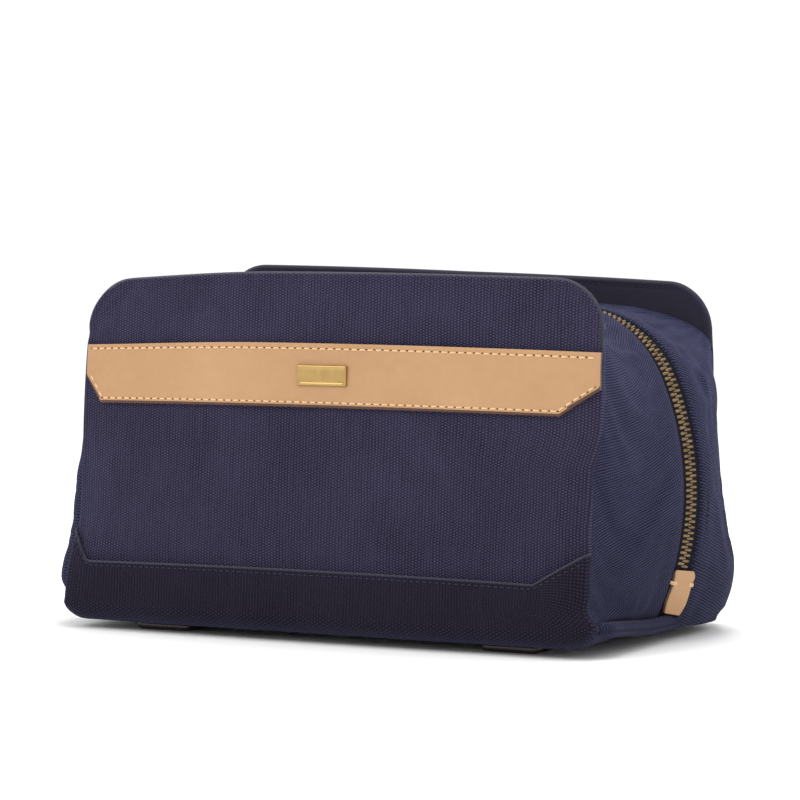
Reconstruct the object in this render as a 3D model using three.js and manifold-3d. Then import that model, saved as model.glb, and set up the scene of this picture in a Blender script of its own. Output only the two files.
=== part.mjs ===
// A zip-top shaving kit bag: two stiff bowed panels that stand up as fins above a soft zipped gusset,
// on a stiffened base with four feet. Millimetres, +Z up, +X to the right seen from the front,
// the front faces -Y, and the origin is on the standing surface under the middle of the bag.
import * as THREE from 'three';
import { mergeVertices } from 'three/addons/utils/BufferGeometryUtils.js';
import Module from 'manifold-3d';

const wasm = await Module();
wasm.setup();

const { lerp, degToRad } = THREE.MathUtils;
const FRONT = -1;
const REAR = 1;
const GAP = 0.3;                // clearance between pieces that touch

// Overall shape
const FOOT_HEIGHT = 4;          // the bag's underside stands this high
const FIN_TOP = 160;            // top of the panels at their corners
const FIN_CROWN = 2;            // the panels' top edge rises by this at mid length
const FIN_CORNER = 21;          // radius of the panels' top corners
const HALF_LENGTH_BASE = 129;   // half length of a panel at the underside
const HALF_LENGTH_TOP = 125.5;  // and at its top
const HALF_DEPTH_BASE = 80;     // middle of the bag to a panel's outer face, at the panel's ends
const HALF_DEPTH_TOP = 65.5;
const BOW_BASE = 4;             // how far a panel's middle stands out past its ends
const BOW_TOP = 9;
const FOLD_HEIGHT = 12;         // the panels fold on the base at this height

// Layers of a panel, each as its outer and inner face, measured in from the cover's outer face
const BAND_LAYER = [-1.9, -GAP];
const BOOT_LAYER = [-1.5, -GAP];
const COVER_LAYER = [0, 1.2];
const BOARD_LAYER = [1.5, 3.1];
const LINING_LAYER = [3.4, 4.2];
const POCKET_LAYER = [5.6, 6.4];
const SEAM_INSET = 4.8;         // where the gusset meets the panel

// The zip line lies in the middle plane: straight over the top, then a shoulder arc, then a side arc
const SIDE_CENTRE = new THREE.Vector2(12, 65);
const SIDE_RADIUS = 130.5;
const SHOULDER_RADIUS = 51.5;
const SHOULDER_ANGLE = degToRad(23.2);  // height angle where the side arc turns into the shoulder arc
const ZIP_BOTTOM = 13;                  // lowest height of the gusset

// Depths below the gusset's outer face, and half widths across the zip
const GUSSET_DEPTH = [0, 1.2];
const TAPE_DEPTH = [1.75, 2.45];
const GUSSET_LINING_DEPTH = [3.0, 3.7];
const TEETH_DEPTH = [0.4, 2.8];
const GUSSET_EDGE = 6.5;        // the gusset's turned edges stop this far from the zip line
const TAPE_BAND = [3.3, 12];
const TEETH_BAND = [0.15, 3.0];

const TAB_TOP = 31;             // height of the leather zip end tabs' top edge
const TAB_HALF_WIDTH = 6.5;
const TAB_THICKNESS = 2;
const SLIDER_HEIGHT = 38;       // where the slider is parked, above the left tab
const SLIDER_HALF_LENGTH = 5.5;
const PULL_AXIS_HEIGHT = 3.4;   // pull's pin above the zip line

const NAVY = { color: '#2d2b44', roughness: 0.92, metalness: 0 };
const NAVY_DARK = { color: '#201f30', roughness: 0.95, metalness: 0 };
const LINING = { color: '#4a4f66', roughness: 0.7, metalness: 0 };
const LEATHER = { color: '#d5a87a', roughness: 0.55, metalness: 0 };
const BRASS = { color: '#a58750', roughness: 0.35, metalness: 1 };
const BOARD = { color: '#8b7a5e', roughness: 0.9, metalness: 0 };
const FOOT = { color: '#2d2421', roughness: 0.3, metalness: 0 };

const bag = new THREE.Group();

function addPiece(name, geometry, look, parent = bag) {
  const piece = new THREE.Mesh(geometry, new THREE.MeshStandardMaterial(look));
  piece.name = name;
  parent.add(piece);
  return piece;
}

// ---- Geometry helpers ----

function signedVolume(geometry) {
  const position = geometry.getAttribute('position');
  const corner = [new THREE.Vector3(), new THREE.Vector3(), new THREE.Vector3()];
  let volume = 0;
  for (let i = 0; i < geometry.index.count; i += 3) {
    corner.forEach((point, k) => point.fromBufferAttribute(position, geometry.index.getX(i + k)));
    volume += corner[0].dot(corner[1].clone().cross(corner[2])) / 6;
  }
  return volume;
}

// A closed sheet of cloth, board or leather between two matching grids of points.
// outer and inner give the point of a column and row; its faces are turned outwards at the end.
function closedSheet(outer, inner, columns, rows) {
  const positions = [];
  for (const face of [outer, inner]) {
    for (let row = 0; row <= rows; row++) {
      for (let column = 0; column <= columns; column++) {
        positions.push(...face(column, row).toArray());
      }
    }
  }
  const index = [];
  const at = (layer, column, row) => (layer * (rows + 1) + row) * (columns + 1) + column;
  const quad = (a, b, c, d) => index.push(a, b, c, a, c, d);
  for (let row = 0; row < rows; row++) {
    for (let column = 0; column < columns; column++) {
      quad(at(0, column, row), at(0, column + 1, row), at(0, column + 1, row + 1), at(0, column, row + 1));
      quad(at(1, column, row), at(1, column, row + 1), at(1, column + 1, row + 1), at(1, column + 1, row));
    }
  }
  for (let column = 0; column < columns; column++) {
    quad(at(0, column, 0), at(1, column, 0), at(1, column + 1, 0), at(0, column + 1, 0));
    quad(at(0, column, rows), at(0, column + 1, rows), at(1, column + 1, rows), at(1, column, rows));
  }
  for (let row = 0; row < rows; row++) {
    quad(at(0, 0, row), at(0, 0, row + 1), at(1, 0, row + 1), at(1, 0, row));
    quad(at(0, columns, row), at(1, columns, row), at(1, columns, row + 1), at(0, columns, row + 1));
  }
  const geometry = new THREE.BufferGeometry();
  geometry.setAttribute('position', new THREE.Float32BufferAttribute(positions, 3));
  geometry.setIndex(index);
  if (signedVolume(geometry) < 0) {
    geometry.setIndex(index.reverse());
  }
  return geometry;
}

function toSolid(geometry) {
  const bare = geometry.clone();
  bare.deleteAttribute('normal');
  bare.deleteAttribute('uv');
  const merged = mergeVertices(bare);
  return new wasm.Manifold(new wasm.Mesh({
    numProp: 3,
    vertProperties: new Float32Array(merged.getAttribute('position').array),
    triVerts: new Uint32Array(merged.index.array),
  }));
}

function toGeometry(solid) {
  const mesh = solid.getMesh();
  const geometry = new THREE.BufferGeometry();
  geometry.setAttribute('position', new THREE.BufferAttribute(new Float32Array(mesh.vertProperties), 3));
  geometry.setIndex(new THREE.BufferAttribute(new Uint32Array(mesh.triVerts), 1));
  return geometry;
}

function subtract(geometry, cutters) {
  return toGeometry(cutters.reduce((solid, cutter) => solid.subtract(toSolid(cutter)), toSolid(geometry)));
}

function join(geometries) {
  const [first, ...rest] = geometries.map(toSolid);
  return toGeometry(rest.reduce((solid, other) => solid.add(other), first));
}

function roundedRectangle(width, height, radius) {
  const x = width / 2;
  const y = height / 2;
  const shape = new THREE.Shape();
  shape.moveTo(x, y - radius);
  shape.absarc(x - radius, y - radius, radius, 0, Math.PI / 2);
  shape.absarc(radius - x, y - radius, radius, Math.PI / 2, Math.PI);
  shape.absarc(radius - x, radius - y, radius, Math.PI, 1.5 * Math.PI);
  shape.absarc(x - radius, radius - y, radius, 1.5 * Math.PI, 2 * Math.PI);
  return shape;
}

function box(width, depth, height, x, y, z) {
  return new THREE.BoxGeometry(width, depth, height).translate(x, y, z);
}

// A round bar along Z from one height to another
function uprightBar(radius, bottom, top, x, y, sides = 16) {
  const bar = new THREE.CylinderGeometry(radius, radius, top - bottom, sides).rotateX(Math.PI / 2);
  return bar.translate(x, y, (bottom + top) / 2);
}

// ---- The bowed panels ----

function halfLength(z) {
  return lerp(HALF_LENGTH_BASE, HALF_LENGTH_TOP, (z - FOOT_HEIGHT) / (FIN_TOP - FOOT_HEIGHT));
}

// A point of the front or rear panel, `inset` into the bag from the cover's outer face
function panelPoint(side, x, z, inset) {
  const lift = (z - FOOT_HEIGHT) / (FIN_TOP - FOOT_HEIGHT);
  const arch = 1 - (x / halfLength(z)) ** 2;
  const out = lerp(HALF_DEPTH_BASE, HALF_DEPTH_TOP, lift) + lerp(BOW_BASE, BOW_TOP, lift) * arch;
  return new THREE.Vector3(x, side * (out - inset), z + FIN_CROWN * lift * arch);
}

// A panel layer with straight sides and rounded top corners, `margin` inside the panel's outline
function panelSheet(side, layer, bottom, margin) {
  const columns = 12;
  const straightRows = 4;
  const cornerRows = 5;
  const radius = FIN_CORNER - margin;
  const top = FIN_TOP - margin;
  const face = (inset) => (column, row) => {
    const turn = Math.max(0, row - straightRows) / cornerRows * Math.PI / 2;
    const rise = Math.min(row, straightRows) / straightRows;
    const z = lerp(bottom, top - radius, rise) + radius * Math.sin(turn);
    const half = halfLength(z) - margin - radius * (1 - Math.cos(turn));
    return panelPoint(side, (2 * column / columns - 1) * half, z, inset);
  };
  return closedSheet(face(layer[0]), face(layer[1]), columns, straightRows + cornerRows);
}

// Height of the gusset's seam along a panel: level over the middle, falling as a quarter ellipse at the ends
const SEAM_LEVEL_HALF = 70.5;
const SEAM_END_HEIGHT = 130;
const SEAM_TOP = SIDE_CENTRE.y + (SIDE_RADIUS - SHOULDER_RADIUS) * Math.sin(SHOULDER_ANGLE) + SHOULDER_RADIUS;
const SEAM_HALF = halfLength(SEAM_END_HEIGHT);

function seamHeight(x) {
  const along = Math.max(0, Math.abs(x) - SEAM_LEVEL_HALF) / (SEAM_HALF - SEAM_LEVEL_HALF);
  return SEAM_END_HEIGHT + (SEAM_TOP - SEAM_END_HEIGHT) * Math.sqrt(Math.max(0, 1 - along ** 2));
}

// Height of a panel's outline, down its round corners
function finHeight(x) {
  const along = Math.max(0, Math.abs(x) - (SEAM_HALF - FIN_CORNER));
  return FIN_TOP - FIN_CORNER + Math.sqrt(Math.max(0, FIN_CORNER ** 2 - along ** 2));
}

// A panel layer between two heights that vary along the panel
function stripSheet(side, layer, half, lower, upper, rows) {
  const columns = 16;
  const face = (inset) => (column, row) => {
    const x = half * Math.sin((column / columns - 0.5) * Math.PI);
    return panelPoint(side, x, lerp(lower(x), upper(x), row / rows), inset);
  };
  return closedSheet(face(layer[0]), face(layer[1]), columns, rows);
}

// A band or patch along a panel, straight along its middle, with an edge that climbs at both ends
const climb = (x, start, end, rise) => rise * Math.max(0, (Math.abs(x) - start) / (end - start));

const BAND_BOTTOM = 102;
const BAND_TOP = 129;
const BAND_CORNER = 12;         // the band's bottom corners are cut off by this height
const BAND_CUT = 17;            // and this length
const BOOT_TOP = 30;
const BOOT_CORNER = 12;         // the boot's top edge climbs by this at both ends
const BOOT_CUT = 20;
const POCKET_HALF_LENGTH = 85;
const POCKET_BOTTOM = 20;
const POCKET_TOP = 95;
const POCKET_MOUTH = 101;       // top of the cuff along the pocket's mouth
const PLATE_SIZE = [24, 9];
const PLATE_HEIGHT = 115.5;
const PLATE_THICKNESS = 1.5;
const PLATE_BEVEL = 0.5;
const PRONG_SPACING = 16;
const PRONG_RADIUS = 0.6;
const PRONG_LENGTH = 2;

function leatherBand() {
  const half = halfLength(BAND_BOTTOM) - GAP;
  const columnsX = [-half, -(half - BAND_CUT), -80, -48, -16, 16, 48, 80, half - BAND_CUT, half];
  const face = (inset) => (column, row) => {
    const x = columnsX[column];
    const bottom = BAND_BOTTOM + climb(x, half - BAND_CUT, half, BAND_CORNER);
    return panelPoint(FRONT, x, row === 0 ? bottom : BAND_TOP, inset);
  };
  const strap = closedSheet(face(BAND_LAYER[0]), face(BAND_LAYER[1]), columnsX.length - 1, 1);
  return subtract(strap, [-1, 1].map((end) => prong(end, PRONG_RADIUS + GAP, 2 * PRONG_LENGTH)));
}

// A bar along Y, centred just inside the band's outer face
function prong(end, radius, length) {
  const centre = panelPoint(FRONT, 0, PLATE_HEIGHT, BAND_LAYER[0] + GAP);
  const bar = new THREE.CylinderGeometry(radius, radius, length, 12);
  return bar.translate(end * PRONG_SPACING / 2, centre.y, centre.z);
}

// A plain bevelled brass plate with two prongs that pass through the band
function namePlate() {
  const back = panelPoint(FRONT, 0, PLATE_HEIGHT, BAND_LAYER[0] - GAP);
  const [width, height] = PLATE_SIZE.map((size) => size - 2 * PLATE_BEVEL);
  const plate = new THREE.ExtrudeGeometry(roundedRectangle(width, height, 1), {
    depth: PLATE_THICKNESS - 2 * PLATE_BEVEL,
    bevelThickness: PLATE_BEVEL,
    bevelSize: PLATE_BEVEL,
    bevelSegments: 1,
    curveSegments: 3,
  });
  plate.rotateX(Math.PI / 2).translate(0, back.y - PLATE_BEVEL, back.z);
  return join([plate, ...[-1, 1].map((end) => prong(end, PRONG_RADIUS, PRONG_LENGTH))]);
}

function boot(side) {
  const half = halfLength(BOOT_TOP) - GAP;
  const columnsX = [-half, -(half - BOOT_CUT), -72, -36, 0, 36, 72, half - BOOT_CUT, half];
  const face = (inset) => (column, row) => {
    const x = columnsX[column];
    const top = BOOT_TOP + climb(x, half - BOOT_CUT, half, BOOT_CORNER);
    return panelPoint(side, x, lerp(FOLD_HEIGHT + GAP, top, row), inset);
  };
  return closedSheet(face(BOOT_LAYER[0]), face(BOOT_LAYER[1]), columnsX.length - 1, 1);
}

function slipPocket(side) {
  return stripSheet(side, POCKET_LAYER, POCKET_HALF_LENGTH, () => POCKET_BOTTOM, () => POCKET_TOP, 3);
}

// The cuff of cloth folded over the pocket's mouth
function pocketBinding(side) {
  return stripSheet(side, POCKET_LAYER, POCKET_HALF_LENGTH, () => POCKET_TOP + GAP, () => POCKET_MOUTH, 1);
}

// ---- The zip line and the gusset ----

const TOP_RUN = SIDE_CENTRE.x + (SIDE_RADIUS - SHOULDER_RADIUS) * Math.cos(SHOULDER_ANGLE);
const SHOULDER_CENTRE = new THREE.Vector2(TOP_RUN, SEAM_TOP - SHOULDER_RADIUS);
const SHOULDER_RUN = SHOULDER_RADIUS * (Math.PI / 2 - SHOULDER_ANGLE);

// Distance along the zip line from the top middle to a height on the side arc
function sideDistance(z) {
  const angle = Math.asin((z - SIDE_CENTRE.y) / SIDE_RADIUS);
  return TOP_RUN + SHOULDER_RUN + SIDE_RADIUS * (SHOULDER_ANGLE - angle);
}

const ZIP_HALF_RUN = sideDistance(ZIP_BOTTOM);

// Point and outward direction of the zip line, by distance from the top middle; negative to the left
function zipLine(distance) {
  const run = Math.abs(distance);
  let centre = new THREE.Vector2(run, SEAM_TOP - SHOULDER_RADIUS);
  let radius = SHOULDER_RADIUS;
  let angle = Math.PI / 2;
  if (run > TOP_RUN + SHOULDER_RUN) {
    centre = SIDE_CENTRE;
    radius = SIDE_RADIUS;
    angle = SHOULDER_ANGLE - (run - TOP_RUN - SHOULDER_RUN) / SIDE_RADIUS;
  } else if (run > TOP_RUN) {
    centre = SHOULDER_CENTRE;
    angle = Math.PI / 2 - (run - TOP_RUN) / SHOULDER_RADIUS;
  }
  const mirror = distance < 0 ? -1 : 1;
  const outward = new THREE.Vector2(mirror * Math.cos(angle), Math.sin(angle));
  const point = new THREE.Vector2(mirror * centre.x, centre.y).addScaledVector(outward, radius);
  return { point, outward };
}

// The zip line's point at a distance along it, `y` across it and `depth` into the bag
function zipPoint(distance, y, depth) {
  const { point, outward } = zipLine(distance);
  return new THREE.Vector3(point.x - outward.x * depth, y, point.y - outward.y * depth);
}

// Where the gusset is sewn to a panel, for the same distance along the zip line
function seamPoint(side, distance) {
  const run = Math.abs(distance);
  const mirror = distance < 0 ? -1 : 1;
  if (run <= TOP_RUN) {
    return panelPoint(side, mirror * SEAM_LEVEL_HALF * run / TOP_RUN, SEAM_TOP, SEAM_INSET);
  }
  if (run <= TOP_RUN + SHOULDER_RUN) {
    const turn = (run - TOP_RUN) / SHOULDER_RUN * Math.PI / 2;
    const x = SEAM_LEVEL_HALF + (SEAM_HALF - SEAM_LEVEL_HALF) * Math.sin(turn);
    const z = SEAM_END_HEIGHT + (SEAM_TOP - SEAM_END_HEIGHT) * Math.cos(turn);
    return panelPoint(side, mirror * x, z, SEAM_INSET);
  }
  const fall = (run - TOP_RUN - SHOULDER_RUN) / (ZIP_HALF_RUN - TOP_RUN - SHOULDER_RUN);
  const z = lerp(SEAM_END_HEIGHT, ZIP_BOTTOM, fall);
  return panelPoint(side, mirror * halfLength(z), z, SEAM_INSET);
}

// The gusset's outer face: across 0 is the panel seam and across 1 the turned edge beside the zip
function gussetFace(side, distance, across) {
  const seam = seamPoint(side, distance);
  const edge = zipPoint(distance, side * GUSSET_EDGE, 0);
  const fullness = lerp(0.75, 0.45, THREE.MathUtils.smoothstep(edge.z, 50, 110));
  const bend = zipPoint(distance, lerp(edge.y, seam.y, fullness), 0);
  return new THREE.QuadraticBezierCurve3(seam, bend, edge).getPoint(across);
}

function gussetPoint(side, distance, across, depth) {
  const step = 0.01;
  const along = gussetFace(side, distance + step, across).sub(gussetFace(side, distance - step, across));
  const before = Math.max(0, across - step);
  const after = Math.min(1, across + step);
  const over = gussetFace(side, distance, after).sub(gussetFace(side, distance, before));
  const normal = along.cross(over).normalize();
  const { outward } = zipLine(distance);
  const facing = Math.sign(normal.x * outward.x + normal.z * outward.y);
  return gussetFace(side, distance, across).addScaledVector(normal, -facing * depth);
}

// Stations along the zip line shared by every strip that follows it
const STATIONS = [];
for (const [start, run, steps] of [
  [0, TOP_RUN, 5],
  [TOP_RUN, SHOULDER_RUN, 6],
  [TOP_RUN + SHOULDER_RUN, ZIP_HALF_RUN - TOP_RUN - SHOULDER_RUN, 7],
]) {
  for (let i = 1; i <= steps; i++) {
    const distance = start + run * i / steps;
    STATIONS.push(distance, -distance);
  }
}
STATIONS.push(0);
STATIONS.sort((a, b) => a - b);

function stationsBetween(start, end) {
  const margin = 1;
  return [start, ...STATIONS.filter((at) => at > start + margin && at < end - margin), end];
}

function gussetSheet(side, depths) {
  const rows = 5;
  const face = (depth) => (column, row) => gussetPoint(side, STATIONS[column], row / rows, depth);
  return closedSheet(face(depths[0]), face(depths[1]), STATIONS.length - 1, rows);
}

// A strip along the zip line between two distances across it
function zipStrip(side, band, depths, start, end) {
  const stations = stationsBetween(start, end);
  const face = (depth) => (column, row) => zipPoint(stations[column], side * band[row], depth);
  return closedSheet(face(depths[0]), face(depths[1]), stations.length - 1, 1);
}

const TEETH_RIGHT_END = sideDistance(TAB_TOP + 2);
const TEETH_LEFT_END = -sideDistance(SLIDER_HEIGHT + SLIDER_HALF_LENGTH + 1.5);

// ---- The halves that open ----

function addHalf(side, prefix) {
  addPiece(`${prefix}_cover`, panelSheet(side, COVER_LAYER, FOLD_HEIGHT + GAP, 0), NAVY);
  addPiece(`${prefix}_board`, panelSheet(side, BOARD_LAYER, FOLD_HEIGHT + 4, 3), BOARD);
  addPiece(`${prefix}_fin_facing`,
    stripSheet(side, LINING_LAYER, SEAM_HALF - GAP, (x) => seamHeight(x) + GAP, finHeight, 2), NAVY_DARK);
  addPiece(`${prefix}_lining`,
    stripSheet(side, LINING_LAYER, SEAM_HALF - GAP, () => FOLD_HEIGHT + 1, (x) => seamHeight(x) - GAP, 4),
    LINING);
  addPiece(`${prefix}_pocket`, slipPocket(side), LINING);
  addPiece(`${prefix}_pocket_binding`, pocketBinding(side), NAVY_DARK);
  addPiece(`${prefix}_boot`, boot(side), NAVY);
  addPiece(`${prefix}_gusset`, gussetSheet(side, GUSSET_DEPTH), NAVY);
  addPiece(`${prefix}_gusset_lining`, gussetSheet(side, GUSSET_LINING_DEPTH), LINING);
  addPiece(`${prefix}_zip_tape`,
    zipStrip(side, TAPE_BAND, TAPE_DEPTH, TEETH_LEFT_END, TEETH_RIGHT_END), NAVY_DARK);
  addPiece(`${prefix}_zip_teeth`,
    zipStrip(side, TEETH_BAND, TEETH_DEPTH, TEETH_LEFT_END, TEETH_RIGHT_END), BRASS);
}

addHalf(FRONT, 'front');
addHalf(REAR, 'rear');
addPiece('leather_band', leatherBand(), LEATHER);
addPiece('nameplate', namePlate(), BRASS);

// ---- The base ----

const BASE_EDGE_RADIUS = FOLD_HEIGHT - FOOT_HEIGHT;
const BASE_CLOTH = 1.2;
const BASE_HALF_LENGTH = 128;
const BASE_HALF_DEPTH = 76;     // the flat part of the base cloth, with half its edge curves
const BOARD_BOTTOM = FOOT_HEIGHT + BASE_CLOTH + GAP;
const BOARD_THICKNESS = 2.5;
const FOOT_SIZE = [27, 25];
const FOOT_CENTRE = [85, 57];
const RIVET_RADIUS = 1.6;
const RIVET_HEAD_RADIUS = 4;
const RIVET_HEAD_HEIGHT = 1;
const RIVET_HOLE_TOP = 20;      // above everything that a foot's rivet passes through
const BOARD_MARGIN = 6;         // from the edge of the base cloth to the base board
const LINING_MARGIN = 8;
const BASE_LINING = 0.9;
const BLIND_HOLE_FLOOR = 1.5;   // height of the floor of the blind hole in a foot

const footCentres = [];
for (const [endName, end] of [['left', -1], ['right', 1]]) {
  for (const [sideName, side] of [['front', FRONT], ['rear', REAR]]) {
    footCentres.push({ name: `${sideName}_${endName}`, x: end * FOOT_CENTRE[0], y: side * FOOT_CENTRE[1] });
  }
}

const rivetHoles = () => footCentres.map(({ x, y }) => uprightBar(RIVET_RADIUS + GAP, 0, RIVET_HOLE_TOP, x, y));

// The base cloth lies flat under the bag and turns up at the front and rear to meet the panels
function baseCover() {
  const columns = 12;
  const arcRows = 4;
  const rows = 2 * arcRows + 2;
  const face = (cloth) => (column, row) => {
    const x = (2 * column / columns - 1) * BASE_HALF_LENGTH;
    const fromEnd = Math.min(row, rows - row);
    const side = row <= rows / 2 ? FRONT : REAR;
    if (fromEnd > arcRows) {
      return new THREE.Vector3(x, 0, FOOT_HEIGHT + cloth);
    }
    const turn = fromEnd / arcRows * Math.PI / 2;
    const radius = BASE_EDGE_RADIUS - cloth;
    const centre = panelPoint(side, x, FOLD_HEIGHT, 0).y - side * BASE_EDGE_RADIUS;
    return new THREE.Vector3(x, centre + side * radius * Math.cos(turn), FOLD_HEIGHT - radius * Math.sin(turn));
  };
  return subtract(closedSheet(face(0), face(BASE_CLOTH), columns, rows), rivetHoles());
}

function basePlate(bottom, thickness, margin) {
  const corner = 6;
  const outline = roundedRectangle(2 * (BASE_HALF_LENGTH - margin), 2 * (BASE_HALF_DEPTH - margin), corner);
  const plate = new THREE.ExtrudeGeometry(outline, { depth: thickness, bevelEnabled: false, curveSegments: 4 });
  return plate.translate(0, 0, bottom);
}

function foot({ x, y }) {
  const bevel = 1;
  const outline = roundedRectangle(FOOT_SIZE[0] - 2 * bevel, FOOT_SIZE[1] - 2 * bevel, 2);
  const block = new THREE.ExtrudeGeometry(outline, {
    depth: FOOT_HEIGHT - GAP - 2 * bevel,
    bevelThickness: bevel,
    bevelSize: bevel,
    bevelSegments: 2,
    curveSegments: 3,
  });
  block.translate(x, y, bevel);
  return subtract(block, [uprightBar(RIVET_RADIUS + GAP, BLIND_HOLE_FLOOR, RIVET_HOLE_TOP, x, y)]);
}

function footRivet({ x, y }) {
  const headBottom = BOARD_BOTTOM + BOARD_THICKNESS + GAP;
  const headTop = headBottom + RIVET_HEAD_HEIGHT;
  const profile = [
    [0, BLIND_HOLE_FLOOR + GAP], [RIVET_RADIUS, BLIND_HOLE_FLOOR + GAP], [RIVET_RADIUS, headBottom],
    [RIVET_HEAD_RADIUS, headBottom], [RIVET_HEAD_RADIUS, headTop - 0.4], [RIVET_HEAD_RADIUS - 1, headTop],
    [0, headTop],
  ].map(([radius, z]) => new THREE.Vector2(radius, z));
  return new THREE.LatheGeometry(profile, 16).rotateX(Math.PI / 2).translate(x, y, 0);
}

// The rolled edge that closes the base along a side, bulging a little at its middle
function sideWelt(end) {
  const halfRun = 74;
  const height = 8.6;
  const path = new THREE.QuadraticBezierCurve3(
    new THREE.Vector3(end * 131, -halfRun, height),
    new THREE.Vector3(end * 133, 0, height),
    new THREE.Vector3(end * 131, halfRun, height),
  );
  const section = new THREE.Shape().absellipse(0, 0, 3.2, 2.4, 0, 2 * Math.PI);
  return new THREE.ExtrudeGeometry(section, { steps: 12, extrudePath: path, curveSegments: 5 });
}

// A leather tab folded over an end of the zip, waisted, with its lower corners cut off
function zipEndTab(end) {
  const bottom = FOLD_HEIGHT + 0.5;
  const rows = [[0, 0.7], [0.14, 1], [0.55, 0.93], [0.85, 1], [1, 0.92]];
  const across = [-1, 1];
  const face = (depth) => (column, row) => {
    const [rise, width] = rows[row];
    const distance = end * sideDistance(lerp(bottom, TAB_TOP, rise));
    return zipPoint(distance, across[column] * TAB_HALF_WIDTH * width, depth);
  };
  return closedSheet(face(-GAP - TAB_THICKNESS), face(-GAP), 1, rows.length - 1);
}

// The zip's cloth tail that the tab is sewn through
function tapeTail(end) {
  const face = (depth) => (column, row) => {
    const distance = end * sideDistance(lerp(ZIP_BOTTOM + 1, TAB_TOP - 0.5, row / 2));
    return zipPoint(distance, (2 * column - 1) * (GUSSET_EDGE - 1), depth);
  };
  return closedSheet(face(TAPE_DEPTH[0]), face(TAPE_DEPTH[1]), 1, 2);
}

// A small metal stop clamped on the tape, hidden by the tab
function zipStop(end, y0, y1) {
  const face = (depth) => (column, row) => {
    const distance = end * sideDistance(lerp(TAB_TOP - 5, TAB_TOP - 2.5, row));
    return zipPoint(distance, lerp(y0, y1, column), depth);
  };
  return closedSheet(face(GAP), face(TAPE_DEPTH[0] - GAP), 1, 1);
}

addPiece('base_cover', baseCover(), NAVY);
const baseBoard = basePlate(BOARD_BOTTOM, BOARD_THICKNESS, BOARD_MARGIN);
const baseLiningBottom = BOARD_BOTTOM + BOARD_THICKNESS + 2 * GAP + RIVET_HEAD_HEIGHT;
addPiece('base_board', subtract(baseBoard, rivetHoles()), BOARD);
addPiece('base_lining', basePlate(baseLiningBottom, BASE_LINING, LINING_MARGIN), LINING);
for (const centre of footCentres) {
  addPiece(`${centre.name}_foot`, foot(centre), FOOT);
  addPiece(`${centre.name}_foot_rivet`, footRivet(centre), BRASS);
}
for (const [name, end] of [['left', -1], ['right', 1]]) {
  addPiece(`${name}_base_welt`, sideWelt(end), NAVY);
  addPiece(`${name}_zip_end_tab`, zipEndTab(end), LEATHER);
  addPiece(`${name}_zip_tape_tail`, tapeTail(end), NAVY_DARK);
}
addPiece('zip_bottom_stop', zipStop(1, -2.5, 2.5), BRASS);
addPiece('front_zip_top_stop', zipStop(-1, -3, -GAP), BRASS);
addPiece('rear_zip_top_stop', zipStop(-1, GAP, 3), BRASS);

// ---- The slider and its pull, parked above the left tab ----
// In the slider's own frame +X points out of the bag, Y runs across the zip and +Z runs down the zip.

const CROWN_HALF_THICKNESS = 1.2;
const PIN_HALF = 0.6;           // half the thickness of the pull's metal link
const LINK_HALF_WIDTH = 3.5;

function sliderBody() {
  const plateTop = 1.3;
  const plateBottom = -0.1;
  const underTop = -3.1;
  const underBottom = -4.3;
  const halfWidth = 4.7;
  const length = 2 * SLIDER_HALF_LENGTH;
  const plate = (low, high) => {
    const outline = roundedRectangle(length, 2 * halfWidth, 2);
    const slab = new THREE.ExtrudeGeometry(outline, { depth: high - low, bevelEnabled: false, curveSegments: 3 });
    return slab.rotateY(Math.PI / 2).translate(low, 0, 0);
  };
  const rail = (side, low, high) => {
    return box(high - low, 0.9, length - 4, (low + high) / 2, side * (halfWidth - 0.45), 0);
  };
  const core = (plateBottom + underTop) / 2;
  const wedge = box(plateBottom - underTop + 0.4, 1.8, 2.4, core, 0, 2 - SLIDER_HALF_LENGTH);
  const crown = new THREE.Shape();
  crown.moveTo(4, plateTop - 0.2);
  crown.quadraticCurveTo(3.4, PULL_AXIS_HEIGHT + 1.6, 0, PULL_AXIS_HEIGHT + 1.6);
  crown.quadraticCurveTo(-3.4, PULL_AXIS_HEIGHT + 1.6, -4, plateTop - 0.2);
  const eye = new THREE.Path().absarc(0, PULL_AXIS_HEIGHT, PIN_HALF * Math.SQRT2 + 0.2, 0, 2 * Math.PI, true);
  crown.holes.push(eye);
  const arch = new THREE.ExtrudeGeometry(crown, {
    depth: 2 * CROWN_HALF_THICKNESS, bevelEnabled: false, curveSegments: 6,
  });
  arch.translate(0, 0, -CROWN_HALF_THICKNESS);
  // The shape's own x runs along the zip and its y out of the bag
  arch.applyMatrix4(new THREE.Matrix4().set(0, 1, 0, 0, 0, 0, 1, 0, 1, 0, 0, 0, 0, 0, 0, 1));
  return join([
    plate(plateBottom, plateTop), plate(underBottom, underTop), wedge, arch,
    rail(-1, plateBottom - 0.9, plateBottom + 0.1), rail(1, plateBottom - 0.9, plateBottom + 0.1),
    rail(-1, underTop - 0.1, underTop + 0.3), rail(1, underTop - 0.1, underTop + 0.3),
  ]);
}

// The metal link hangs on the crown by its top bar and carries the leather fob on its bottom bar
const LINK_TOP = PIN_HALF;
const LINK_BOTTOM = -11;
const LINK_BAR = 1.4;
const WINDOW_HALF = 2.1;

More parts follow.
